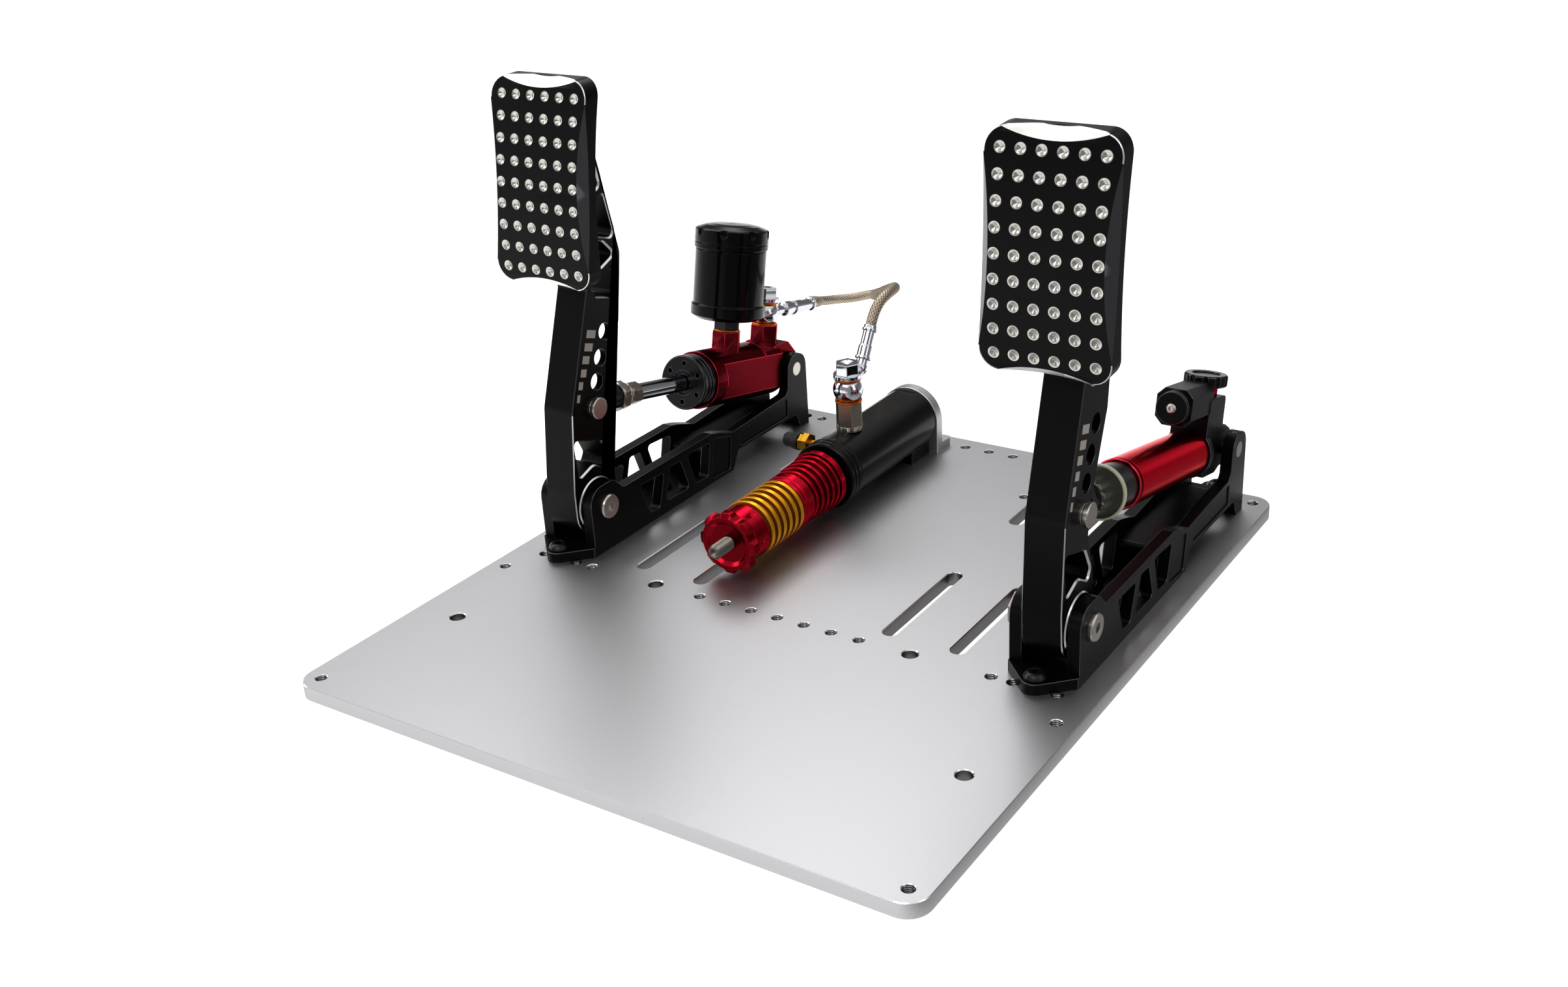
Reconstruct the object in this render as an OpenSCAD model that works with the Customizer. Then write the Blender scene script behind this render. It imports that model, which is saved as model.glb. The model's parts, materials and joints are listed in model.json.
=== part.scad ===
// Hydraulic brake and damped throttle pedal set on a slotted base plate.
// Millimetres. X runs to the right, Y to the rear, Z up. The origin is the centre of the plate's underside.
// Each pedal hangs on its own machined frame. A push rod runs from each arm back to a cylinder that
// swings on the frame's rear pin. A hose joins the brake's master cylinder to the slave cylinder.

/* [Base plate] */
// Width of the base plate, left to right
plate_w = 432; // [424:1:480]
// Length of the base plate, front to rear
plate_d = 510; // [504:1:560]
// Thickness of the base plate
plate_t = 10; // [8:0.5:14]
// Corner radius of the base plate
plate_r = 14; // [4:1:20]
// Width of the long adjustment slots
slot_w = 10; // [8:0.5:11]
// End-to-end length of the long adjustment slots
slot_len = 93; // [60:1:100]
// Distance of the inner slots from the centre line
slot_inner_x = 72; // [70:1:78]
// Distance of the outer slots from the centre line
slot_outer_x = 119; // [112:1:124]
// Middle of the front slots, behind the plate's centre
slot_front_y = 9.5; // [0:0.5:20]
// Middle of the rear slots, behind the plate's centre
slot_rear_y = 183.5; // [175:0.5:190]
// Radius of every tapped hole at the tap drill
tap_r = 3.4; // [3:0.1:3.8]
// Radius of the plate's large clearance holes
through_r = 5; // [4:0.1:6]
// Pitch of the tapped holes in the middle rows
row_pitch = 20; // [18:0.5:24]
// Pitch of the tapped holes at each frame
frame_pitch = 14; // [12:0.5:15]
// Inset of the corner holes from the plate's side edges
corner_inset_x = 12; // [10:0.5:16]
// Inset of the corner holes from the plate's front and rear edges
corner_inset_y = 12; // [10:0.5:16]

/* [Pedal frame] */
// Distance of each pedal's middle from the centre line
pedal_x = 178; // [172:1:182]
// Overall width of a frame
frame_w = 44.6; // [42:0.2:47]
// Thickness of a frame's side cheek
cheek_t = 8; // [7:0.1:8.6]
// Front edge of the cheeks
frame_front_y = -38.2; // [-40:0.2:-37.6]
// Rear face of the frame
frame_rear_y = 231; // [230.6:0.2:234]
// Height of the cheeks' top edge above the plate
cheek_top = 38.7; // [37:0.1:41]
// Height of the rear beam's top above the plate
beam_top = 33.3; // [31:0.1:34]
// Height of the arch under the rear beam
arch_h = 12.7; // [8:0.1:14]
// Radius of the boss around the pivot
boss_r = 16.5; // [14:0.1:17]
// Thickness of the floor between the cheeks
floor_t = 5; // [3:0.5:6]
// Height of the rear deck between the cheeks
deck_top = 26; // [20:0.5:27]
// Thickness of the nose tab that the front screw clamps
tab_t = 7.5; // [6:0.5:9]
// Middle of the front row of tapped holes
front_row_y = -50; // [-51:0.5:-49]
// Middle of the rear row of tapped holes
rear_row_y = 241.5; // [241:0.5:243]
// Reach of the frame's nose in front of the row of holes
nose_reach = 12.3; // [10:0.1:14]
// Radius of the ears round the rear pin
ear_r = 12; // [10:0.2:12.2]
// Depth of the recessed side panels
panel_depth = 0.8; // [0.4:0.1:1.6]

/* [Pivot and pins] */
// Position of the pivot, behind the plate's centre
pivot_y = -21.1; // [-22:0.1:-20.5]
// Height of the pivot above the plate
pivot_h = 32.1; // [31.8:0.1:34]
// Radius of the pivot bolt's shank
pivot_r = 6; // [5:0.1:6.5]
// Radius of the pivot bolt's low head
pivot_head_r = 8.6; // [8:0.1:10]
// Height of the pivot bolt's low head
pivot_head_h = 3.2; // [2.5:0.1:4]
// Position of the rear pin, behind the plate's centre
rear_pin_y = 217.5; // [217:0.1:218]
// Height of the rear pin above the plate
rear_pin_h = 50; // [49:0.1:52]
// Radius of the rear pin
rear_pin_r = 5.3; // [4.5:0.1:6]
// Radius of the clevis pin in the arm
clevis_r = 6; // [5:0.1:6.2]
// Radius of the clevis pin's head
clevis_head_r = 7.5; // [7:0.1:9]
// Height of the clevis pin's head and shoulder
clevis_head_h = 6.2; // [4:0.1:8]

/* [Pedal arm] */
// Width of a pedal arm
arm_w = 25; // [24:0.1:25.6]
// Lean of the throttle arm towards the driver, in degrees
throttle_lean = 3.4; // [2:0.1:4.5]
// Clevis pin behind the pivot, on an upright arm
clevis_dy = 7.1; // [6.5:0.1:8]
// Clevis pin above the pivot, on an upright arm
clevis_dz = 68.1; // [67:0.1:69]
// Radius of the raised ring round the pivot
ring_r = 21; // [18:0.1:21]
// Top of the arm above the pivot
arm_top = 276; // [274:1:280]
// Width of the slot for the rod end
fork_w = 14.6; // [13.6:0.1:15.4]

/* [Pedal face] */
// Width of a pedal face
face_w = 77; // [70:0.5:77]
// Height of a pedal face
face_h = 129.5; // [124:0.5:134]
// Thickness of a pedal face
face_t = 12; // [9:0.5:14]
// Radius of the bend in the pedal face
face_bend_r = 400; // [350:5:500]
// Corner radius of a pedal face
face_corner_r = 12; // [6:0.5:16]
// Depth of the scooped side edges
side_scoop = 5.5; // [3:0.1:6]
// Depth of the scooped top and bottom edges
end_scoop = 4.6; // [2:0.1:5]
// Half the length of a side scoop
side_scoop_reach = 52; // [40:1:56]
// Half the length of an end scoop
end_scoop_reach = 28; // [20:1:32]
// Radius of a grip dimple
dimple_r = 3.3; // [2.5:0.1:4]
// Columns of dimples
dimple_columns = 6; // [3:1:6]
// Rows of dimples
dimple_rows = 9; // [4:1:9]
// Pitch of the columns
dimple_pitch_x = 11.8; // [9:0.1:12]
// Pitch of the rows
dimple_pitch_z = 13.75; // [10:0.05:14]

/* [Brake master cylinder] */
// Front of the gland, ahead of the rear pin
gland_ahead = 119.1; // [117:0.1:124]
// Length of the gland
gland_len = 14.6; // [12:0.1:18]
// Radius of the gland
gland_r = 20.2; // [18:0.1:21]
// Radius of the master cylinder's round body
master_r = 21.5; // [20.6:0.1:21.6]
// Length of the round flange behind the gland
master_flange_len = 12.6; // [8:0.1:16]
// Distance of the side flats from the middle
master_flat_x = 17; // [15:0.1:18]
// Rear end of the round body, ahead of the rear pin
master_end = 13.2; // [12.8:0.1:16]
// Bore of the master cylinder
master_bore_r = 11; // [9:0.1:13]
// Radius of the push rod
rod_r = 6.25; // [5.5:0.05:7]
// Length of the push rod behind its hexagon
rod_len = 106; // [102:0.5:108]
// Length of the push rod's hexagon
rod_hex_len = 11; // [9:0.5:12]
// Radius of the rod end's eye
eye_r = 10.6; // [9.6:0.1:10.8]
// Length of the rod end, from its eye to the jam nut
rod_end_len = 37.7; // [32:0.1:42]
// Radius of the rod end's shank
shank_r = 8.25; // [7.2:0.05:8.4]

/* [Reservoir] */
// Middle of the reservoir's boss, ahead of the rear pin
reservoir_ahead = 67.2; // [64:0.1:70]
// Radius of the reservoir's body
reservoir_r = 26.5; // [22:0.1:27]
// Underside of the reservoir, above the cylinder's axis
reservoir_base = 43; // [42.6:0.1:48]
// Height of the reservoir's body
reservoir_h = 52; // [40:0.5:60]
// Wall of the reservoir
reservoir_wall = 3; // [2:0.1:4]
// Height of the reservoir's lid at its rim
lid_h = 15.5; // [12:0.1:18]
// Radius of the lid
lid_r = 27.5; // [26:0.1:28]

/* [Hose fittings] */
// Middle of the outlet boss, ahead of the rear pin
outlet_ahead = 15.9; // [15:0.1:18]
// Top of both bosses above the cylinder's axis
boss_top = 33.6; // [32:0.1:34]
// Radius of a banjo's ball
banjo_r = 10.2; // [9:0.1:10.4]
// Thickness of a copper sealing washer
washer_t = 1.4; // [1:0.1:2]
// Radius of a copper sealing washer
washer_r = 9.6; // [8.8:0.1:10]
// Radius of a banjo bolt's shank
banjo_bolt_r = 5; // [4:0.1:5.4]
// Radius of the crimped ferrule
ferrule_r = 5; // [4.6:0.1:5.6]
// Width across the flats of a banjo bolt's head
bolt_flats = 15.5; // [12:0.1:16]
// Diameter of the braided hose
hose_d = 8; // [6:0.1:8.4]

/* [Slave cylinder] */
// Position of the slave cylinder, left of the centre line
slave_x = 57; // [54:0.5:59]
// Height of the slave cylinder's axis above the plate
slave_h = 25.5; // [25:0.1:28]
// Radius of the slave cylinder's tube
slave_r = 23.5; // [22:0.1:24]
// Front of the slave cylinder's collar
collar_y = 98.5; // [98:0.5:100]
// Length of the collar
collar_len = 13.5; // [12:0.5:16]
// Radius of the collar's ribs
collar_r = 24.5; // [23:0.1:24.8]
// Rear end of the tube and front of the bracket
bracket_y = 220.2; // [218:0.1:221]
// Thickness of the rear bracket
bracket_t = 8; // [6:0.1:9]
// Half the width of the rear bracket
bracket_half_w = 24.3; // [24:0.1:26]
// Bore of the slave cylinder
slave_bore_r = 17; // [14:0.1:18]
// Middle of the hose port
port_y = 135; // [133:0.5:137]
// Top of the hex adapter above the plate
adapter_top = 70; // [68:0.1:72]

/* [Spring stack] */
// Radius of the threaded rod
stud_r = 5; // [4.6:0.1:6.2]
// Front tip of the threaded rod
stud_tip_y = -36; // [-42:0.5:-32]
// Front face of the preload knob
knob_y = -22; // [-24:0.5:-20]
// Thickness of the preload knob
knob_t = 8; // [6:0.1:9]
// Radius of the preload knob over its lobes
knob_r = 21.8; // [21:0.1:24]
// Number of lobes on the preload knob
knob_lobes = 8; // [6:1:9]
// Radius of the red sleeve
sleeve_r = 19; // [18:0.1:21]
// Rear face of the red sleeve
sleeve_end_y = 2; // [0:0.5:4]
// Radius of the gold disc springs
gold_r = 19.8; // [18:0.1:22]
// Number of gold discs
gold_count = 6; // [4:1:9]
// Front face of the red middle collar
mid_y = 44; // [42:0.5:46]
// Length of the red middle collar
mid_len = 13; // [10:0.5:15]
// Radius of the red middle collar
mid_r = 19.5; // [18:0.1:21]
// Radius of the red discs
red_r = 21.4; // [19:0.1:22.4]
// Number of red discs
red_count = 5; // [3:1:7]
// Front face of the piston's flange
flange_y = 88; // [86:0.5:89]
// Thickness of the piston's flange
flange_t = 5; // [4:0.1:6]

/* [Throttle damper] */
// Radius of the damper's red tube
tube_r = 15.8; // [15:0.1:16.4]
// Front of the red tube, ahead of the rear pin
tube_ahead = 161.5; // [160.6:0.1:164]
// Length of the red tube
tube_len = 119.6; // [116:0.1:122]
// Wall of the red tube
tube_wall = 1.2; // [1:0.1:1.6]
// Width of the rear block
block_w = 25; // [22:0.1:26]
// Top of the rear block above the axis
block_top = 37.6; // [34:0.1:40]
// Middle of the canister above the axis
canister_h = 35.5; // [34:0.1:38]
// Half the width of the canister across its flats
canister_half = 12.3; // [11:0.1:14]
// Radius of the clear guard ring
guard_r = 17; // [16.2:0.1:18]
// Length of the clear guard ring
guard_len = 25; // [20:0.5:26]
// Rear edge of the guard ring, behind the clevis pin
guard_end = 55.3; // [54:0.1:56]
// Radius of the fluted adjuster knob
adjuster_r = 12.5; // [10:0.1:13]
// Number of flutes on the adjuster knob
adjuster_flutes = 12; // [8:1:16]
// Radius of the black spring cup
cup_r = 14.4; // [13:0.1:14.5]
// Length of the black spring cup
cup_len = 62; // [58:0.5:64]

/* [Fits] */
// Radial clearance of a pin or shaft that turns or slides
running_fit = 0.05; // [0.02:0.01:0.1]
// Gap between faces of different bodies
side_gap = 0.6; // [0.3:0.05:0.8]
// Clearance round the clevis pin, where the linkage is opened
open_gap = 1; // [0.8:0.1:1.2]

/* [Hidden] */
$fn = 48;
over = 1;
left = -1;
right = 1;
inner_w = frame_w - 2 * cheek_t;
pivot_z = plate_t + pivot_h;
rear_pin_z = plate_t + rear_pin_h;
slave_z = plate_t + slave_h;
bend_y = -13.1 + face_bend_r;
bend_z = 174;
face_mid_z = 222.2;
nut_t = 8;
boss_base = 15;
seat_r = pivot_r + 2;
neck_r = 6.5;
neck_end = 17;
neck_rise = 1.4;
canister_start = -80.5;
canister_end = -37.2;
dial_ahead = 21;
arm_bore_r = clevis_r + running_fit;
chord_y = 9.5;
screw_heights = [170, 236];
upper_seat = 5.6;
floor_screw_y = [28, 66];
hose_gap = 0.35;
nipple_r = 3;
cap_room = 0.25;
port_r = 4.55;
saddle_len = 26.2;
port_room = 0.25;
spot_depth = 0.4;

// Hose route: hand-set points of the middle line, closer near its ends, in the object's frame
hose_route = [
    [-178, 277.55, 92.3], [-178.3, 282.6, 91.35], [-181.5, 292, 88.8], [-188, 303, 85], [-198, 313, 81], [-208, 323, 76], [-217, 334, 72],
    [-222, 348, 67], [-221, 362, 63], [-216, 375, 61], [-205, 385, 61], [-192, 390, 64], [-178, 390, 68],
    [-166, 383, 74], [-156, 373, 80], [-149, 361, 84], [-144, 348, 88], [-140, 334, 92], [-135, 320, 95],
    [-131, 307, 99], [-126, 293, 103], [-120, 280, 107], [-113, 268, 111], [-105, 256, 116], [-96, 246, 121],
    [-86, 238, 127], [-75, 229, 133], [-66, 219, 138], [-60, 207, 141], [-57, 192.4, 141.8], [-57, 182.7, 139.4],
    [-57, 175.6, 134.8], [-57, 171.3, 129.8], [-57, 169, 126]
];

// Outlines in the plane of Y and height. Each point is [y, height, corner radius]
boss_back_y = pivot_y + 8.6;
ear_front_y = rear_pin_y - ear_r + 0.4;
ear_top = rear_pin_h + ear_r;
cheek_outline = [
    [frame_front_y, 0, 0], [frame_front_y, pivot_h + boss_r, boss_r], [boss_back_y, pivot_h + boss_r, 10],
    [-3, cheek_top, 4], [101, cheek_top, 4], [111, cheek_top - 2.6, 3], [128, beam_top - 3.2, 4],
    [ear_front_y - 2.6, beam_top, 5], [ear_front_y + 0.4, ear_top, ear_r - 0.6],
    [frame_rear_y - 0.6, ear_top, ear_r - 0.6], [frame_rear_y, 0, 0], [220, 0, 1.5], [217.8, 3.4, 2],
    [214.2, arch_h, 5], [133, arch_h + 0.8, 3], [125.5, 0, 1.5]
];
window_outlines = [
    [[14.5, 32.3, 3], [42.9, 31.4, 3], [34.6, 7.1, 3], [23.2, 8, 3]],
    [[49.6, 33, 3], [62, 32.4, 3], [70.7, 8.1, 3], [42, 8.8, 3]],
    [[70.2, 34.2, 3], [99.5, 32.3, 3], [93.4, 7.4, 3], [78.2, 8.4, 3]]
];
side_panel = [[103.7, 34.3, 2], [125.2, 27.5, 2], [121.5, 2.5, 2], [97.7, 4.2, 2]];
plain_panel = [[137, 27.2, 1], [202, 30.2, 1], [202, 15.6, 1], [137, 15.6, 1]];
deck_outline = [
    [97.5, deck_top, 3], [ear_front_y - 3, deck_top - 2, 2], [ear_front_y - 3, arch_h, 0],
    [133, arch_h + 0.8, 0], [124, 1, 0], [108, 1, 0]
];

// Arm outlines relative to the pivot, on an upright arm
arm_outline = [
    [-ring_r, -ring_r + 2, 16], [-ring_r, 15, 30], [-14.4, 71.4, 20], [12.8, 148.6, 3],
    [3, 157, 4], for (z = [158:20:arm_top - 18]) [seat_y(z), z, 0], [seat_y(arm_top), arm_top, 2],
    [24, arm_top, 5], [37.8, 221.4, 40],
    [50.3, 164, 14], [42.4, 118.7, 5], [18.6, 67, 8], [15.7, 49.5, 5], [22.5, 21, 6], [22.5, 2, 10],
    [12, -ring_r + 2, 12]
];
arm_windows = [
    [[-15.6, 51.4, 3], [11.6, 41.4, 4], [18.6, 26.6, 3.5], [14.6, 20.4, 2.5], [2, 28.8, 9], [-13.9, 23.6, 2]],
    [[17, 149.5, 3], [20.6, 141.4, 3], [43, 135, 5], [46.9, 153.4, 4], [42, 156.8, 3], [30, 155.2, 3]],
    [[chord_y, 159, 3], [30, 159, 3], [44.3, 164.4, 3], [33.4, 175.4, 3], [chord_y, 181, 3]],
    [[chord_y, 186.5, 3], [42.6, 175.8, 3], [45.2, 181, 2], [38.8, 206.4, 3], [chord_y + 1, 200, 3]],
    [[chord_y + 1, 206, 3], [36, 211.4, 4], [25.6, 258, 4], [chord_y + 8.5, 266, 3]]
];
fork_outline = [[-6.5, 56.5, 4], [-1, 84, 0], [16.5, 128, 5], [60, 128, 0], [60, 53, 0], [16, 53, 2]];
hole_places = [[26.5, 115.5], [19.3, 99.3], [13.4, 84]];

function seat_y(z) = bend_y - sqrt(pow(face_bend_r - face_t, 2) - pow(z - bend_z, 2));
function screw_seat(z) = chord_y + (z > 200 ? upper_seat : 0);
function lean(side) = side == right ? throttle_lean : 0;
function clevis_y(side) = pivot_y + clevis_dy * cos(lean(side)) - clevis_dz * sin(lean(side));
function clevis_z(side) = pivot_z + clevis_dy * sin(lean(side)) + clevis_dz * cos(lean(side));
function pin_span(side) = norm([rear_pin_y - clevis_y(side), clevis_z(side) - rear_pin_z]);
function slope(side) = atan2(clevis_z(side) - rear_pin_z, rear_pin_y - clevis_y(side));
function unit(v) = v / norm(v);
function flat(p) = [p[0], p[1]];

// Corner b of a path a, b, c as an arc of radius r, kept inside both edges
function corner(a, b, c, r, steps = 5) =
    let (u = unit(a - b), v = unit(c - b), half = acos(u * v) / 2)
    let (reach = min(r / tan(half), 0.48 * norm(a - b), 0.48 * norm(c - b)), radius = reach * tan(half))
    let (middle = b + unit(u + v) * radius / sin(half), first = b + u * reach - middle)
    let (last = b + v * reach - middle, start = atan2(first[1], first[0]))
    let (turn = (atan2(last[1], last[0]) - start + 540) % 360 - 180)
    [for (i = [0:steps]) middle + radius * [cos(start + turn * i / steps), sin(start + turn * i / steps)]];

// Closed outline with each corner rounded by its own radius
function rounded(points) = [
    for (i = [0:len(points) - 1])
        let (b = points[i], a = points[(i + len(points) - 1) % len(points)], c = points[(i + 1) % len(points)])
        each (b[2] > 0 ? corner(flat(a), flat(b), flat(c), b[2]) : [flat(b)])
];

// Round bar along Y from y0
module along(y0, length, r, r_end = 0) {
    translate([0, y0, 0]) rotate([-90, 0, 0]) cylinder(h = length, r1 = r, r2 = r_end > 0 ? r_end : r);
}

// Solid turned about Y from [radius, y] points
module turned(profile) {
    rotate([-90, 0, 0]) rotate_extrude() polygon(profile);
}

// Round bar along X, centred
module across(length, r, shift = 0) {
    translate([shift - length / 2, 0, 0]) rotate([0, 90, 0]) cylinder(h = length, r = r);
}

// Outline in Y and height, drawn out along X from x0
module slab(x0, width, points) {
    translate([x0, 0, 0]) rotate([90, 0, 90]) linear_extrude(width) polygon(rounded(points));
}

// Hexagon bar along Z
module hex_bar(flats, height) {
    cylinder(h = height, d = flats / cos(30), $fn = 6);
}

module round_plate(w, d, t, r) {
    translate([-w / 2 + r, -d / 2, 0]) cube([w - 2 * r, d, t]);
    translate([-w / 2, -d / 2 + r, 0]) cube([w, d - 2 * r, t]);
    for (x = [-w / 2 + r, w / 2 - r], y = [-d / 2 + r, d / 2 - r])
        translate([x, y, 0]) cylinder(h = t, r = r);
}

// Button-head screw, its shank pointing down from z = 0
module button_screw(shank_radius, length, head_radius, head_height) {
    translate([0, 0, -length]) cylinder(h = length + 0.01, r = shank_radius);
    difference() {
        rotate_extrude() polygon([
            [0, 0], [head_radius, 0], [head_radius, head_height * 0.3], [head_radius * 0.86, head_height * 0.72],
            [head_radius * 0.62, head_height], [0, head_height]
        ]);
        translate([0, 0, head_height * 0.35]) hex_bar(head_radius * 0.72, head_height);
    }
}

module at_frame(side) {
    translate([side * pedal_x, 0, plate_t]) children();
}

module at_pivot(side) {
    translate([side * pedal_x, pivot_y, pivot_z]) rotate([lean(side), 0, 0]) children();
}

// Frame of a cylinder: origin on the rear pin, Y along the cylinder to the rear, Z square to it
module at_cylinder(side) {
    translate([side * pedal_x, rear_pin_y, rear_pin_z]) rotate([-slope(side), 0, 0]) children();
}

// The same frame moved to the clevis pin
module at_clevis(side) {
    at_cylinder(side) translate([0, -pin_span(side), 0]) children();
}

module at_slave() {
    translate([-slave_x, 0, slave_z]) children();
}

// Base plate
module slot(x, y) {
    straight = slot_len - slot_w;
    translate([x, y, -over]) {
        translate([-slot_w / 2, -straight / 2, 0]) cube([slot_w, straight, plate_t + 2 * over]);
        for (end = [-1, 1]) translate([0, end * straight / 2, 0]) cylinder(h = plate_t + 2 * over, r = slot_w / 2);
    }
}

module plate_hole(x, y, r) {
    translate([x, y, -over]) cylinder(h = plate_t + 2 * over, r = r);
}

module base_plate() {
    color("silver") difference() {
        round_plate(plate_w, plate_d, plate_t, plate_r);
        for (side = [-1, 1]) {
            for (x = [slot_inner_x, slot_outer_x], y = [slot_front_y, slot_rear_y]) slot(side * x, y);
            for (end = [-1, 1])
                plate_hole(side * (plate_w / 2 - corner_inset_x), end * (plate_d / 2 - corner_inset_y), tap_r);
            for (row = [front_row_y, rear_row_y], i = [-2:1])
                plate_hole(side * (pedal_x + i * frame_pitch), row, tap_r);
            for (y = floor_screw_y) plate_hole(side * pedal_x, y, tap_r);
            plate_hole(side * 96, front_row_y, through_r);
            plate_hole(side * (plate_w / 2 - corner_inset_x), front_row_y - 27, tap_r);
            plate_hole(side * (pedal_x + 5), front_row_y - 96, through_r);
            plate_hole(side * 59, slot_rear_y - 2.5, tap_r);
        }
        for (row = [front_row_y, rear_row_y], i = [-3:3]) plate_hole(i * row_pitch, row, tap_r);
    }
}

// Pedal frames
module cheek(side) {
    outer = side > 0 ? frame_w / 2 - panel_depth : -frame_w / 2 - over;
    x0 = side > 0 ? inner_w / 2 : -frame_w / 2;
    difference() {
        slab(x0, cheek_t, cheek_outline);
        for (points = window_outlines) slab(x0 - over, cheek_t + 2 * over, points);
        slab(outer, panel_depth + over, side_panel);
        slab(outer, panel_depth + over, plain_panel);
        translate([0, pivot_y, pivot_h]) across(frame_w + 2 * over, pivot_r + running_fit);
        translate([0, rear_pin_y, rear_pin_h]) across(frame_w + 2 * over, rear_pin_r + running_fit);
        translate([side * (frame_w / 2 - cheek_t / 2), rear_pin_y, rear_pin_h]) cylinder(h = ear_r + over, r = 2.1);
    }
}

module nose(y_root, y_tip, half, r) {
    linear_extrude(tab_t) polygon(rounded([
        [-half, y_root, 0], [half, y_root, 0], [half, y_tip, r], [-half, y_tip, r]
    ]));
}

module frame(side) {
    screw_r = tap_r + running_fit;
    at_frame(side) difference() {
        union() {
            cheek(-1);
            cheek(1);
            translate([-inner_w / 2 - over, frame_front_y + 3, 0])
                cube([inner_w + 2 * over, 125 - frame_front_y - 3, floor_t]);
            slab(-inner_w / 2 - over, inner_w + 2 * over, deck_outline);
            translate([-inner_w / 2 - over, 221, 0]) cube([inner_w + 2 * over, frame_rear_y - 221, arch_h]);
            linear_extrude(tab_t) polygon(rounded([
                [-frame_w / 2, frame_front_y + 4, 0], [-frame_w / 2, frame_front_y - 1.5, 0],
                [0, front_row_y - nose_reach, 8], [frame_w / 2, frame_front_y - 1.5, 0],
                [frame_w / 2, frame_front_y + 4, 0]
            ]));
            nose(frame_rear_y - 3, rear_row_y + 10, 11, 9);
        }
        for (y = [front_row_y, rear_row_y]) translate([0, y, -over]) cylinder(h = 40, r = screw_r);
        for (y = floor_screw_y) translate([0, y, -over]) cylinder(h = floor_t + 2 * over, r = screw_r);
    }
}

module brake_frame() {
    color("#1c1c1e") frame(left);
}

module throttle_frame() {
    color("#1c1c1e") frame(right);
}

module frame_screws() {
    color("#202022") {
        for (side = [left, right]) at_frame(side) {
            for (y = [front_row_y, rear_row_y]) translate([0, y, tab_t]) button_screw(tap_r, tab_t + 8, 7, 4.4);
            for (y = floor_screw_y) translate([0, y, floor_t]) button_screw(tap_r, floor_t + 8, 7, 4.4);
        }
        translate([-slave_x - 3, rear_row_y, plate_t + tab_t]) button_screw(tap_r, tab_t + 8, 6.4, 4);
    }
}

module pivot_bolts() {
    color("silver") for (side = [left, right]) translate([side * pedal_x, pivot_y, pivot_z]) {
        difference() {
            union() {
                across(frame_w, pivot_r);
                translate([frame_w / 2 - 0.01, 0, 0]) rotate([0, 90, 0]) rotate_extrude() polygon([
                    [0, 0], [pivot_head_r, 0], [pivot_head_r, pivot_head_h * 0.62],
                    [pivot_head_r - 0.7, pivot_head_h], [0, pivot_head_h]
                ]);
            }
            translate([frame_w / 2 + 0.4, 0, 0]) rotate([0, 90, 0]) hex_bar(6, pivot_head_h);
        }
        translate([-frame_w / 2 - 5, 0, 0]) rotate([0, 90, 0]) difference() {
            hex_bar(18, 5);
            translate([0, 0, -over]) cylinder(h = 5 + 2 * over, r = pivot_r - 1);
        }
    }
}

module rear_pins() {
    color("silver") for (side = [left, right])
        translate([side * pedal_x, rear_pin_y, rear_pin_z]) across(frame_w, rear_pin_r);
}

module ear_screws() {
    color("silver") for (side = [left, right], cheek_side = [-1, 1])
        translate([side * pedal_x + cheek_side * (frame_w / 2 - cheek_t / 2), rear_pin_y, rear_pin_z + rear_pin_r]) {
            difference() {
                cylinder(h = ear_r - rear_pin_r - 0.6, r = 2);
                translate([0, 0, ear_r - rear_pin_r - 2.4]) hex_bar(2, 3);
            }
        }
}

// Pedal arms, faces and their small parts
module arm(side) {
    boss_w = inner_w - 2 * side_gap;
    at_pivot(side) difference() {
        union() {
            slab(-arm_w / 2, arm_w, arm_outline);
            across(boss_w, ring_r - 2);
        }
        for (points = arm_windows) slab(-arm_w / 2 - over, arm_w + 2 * over, points);
        slab(-fork_w / 2, fork_w, fork_outline);
        across(boss_w + 2 * over, seat_r);
        translate([0, clevis_dy, clevis_dz]) across(arm_w + 2 * over, arm_bore_r);
        for (place = hole_places) translate([0, place[0], place[1]]) across(arm_w + 2 * over, arm_bore_r);
        for (z = screw_heights) translate([0, -2, z]) along(0, chord_y + 8, 2.5 + running_fit);
    }
}

module brake_arm() {
    color("#1b1b1d") arm(left);
}

module throttle_arm() {
    color("#1b1b1d") arm(right);
}

// Point on the bent front surface at arc length a above the face's middle
module on_face(x, a) {
    turn_mid = asin((face_mid_z - bend_z) / face_bend_r);
    translate([x, bend_y, bend_z]) rotate([-turn_mid - a / face_bend_r * 180 / PI, 0, 0])
        translate([0, -face_bend_r, 0]) children();
}

// Cone with a 45 degree flank that cuts a scoop of the given depth and half length
module scoop_cone(depth, reach, bend) {
    big_r = 1 / (2 * (depth / pow(reach, 2) - bend));
    translate([big_r - depth, 0, 0]) rotate([-90, 0, 0]) translate([0, 0, -3])
        cylinder(h = depth + 6, r1 = big_r + 3, r2 = big_r - depth - 3, $fn = 180);
}

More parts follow.
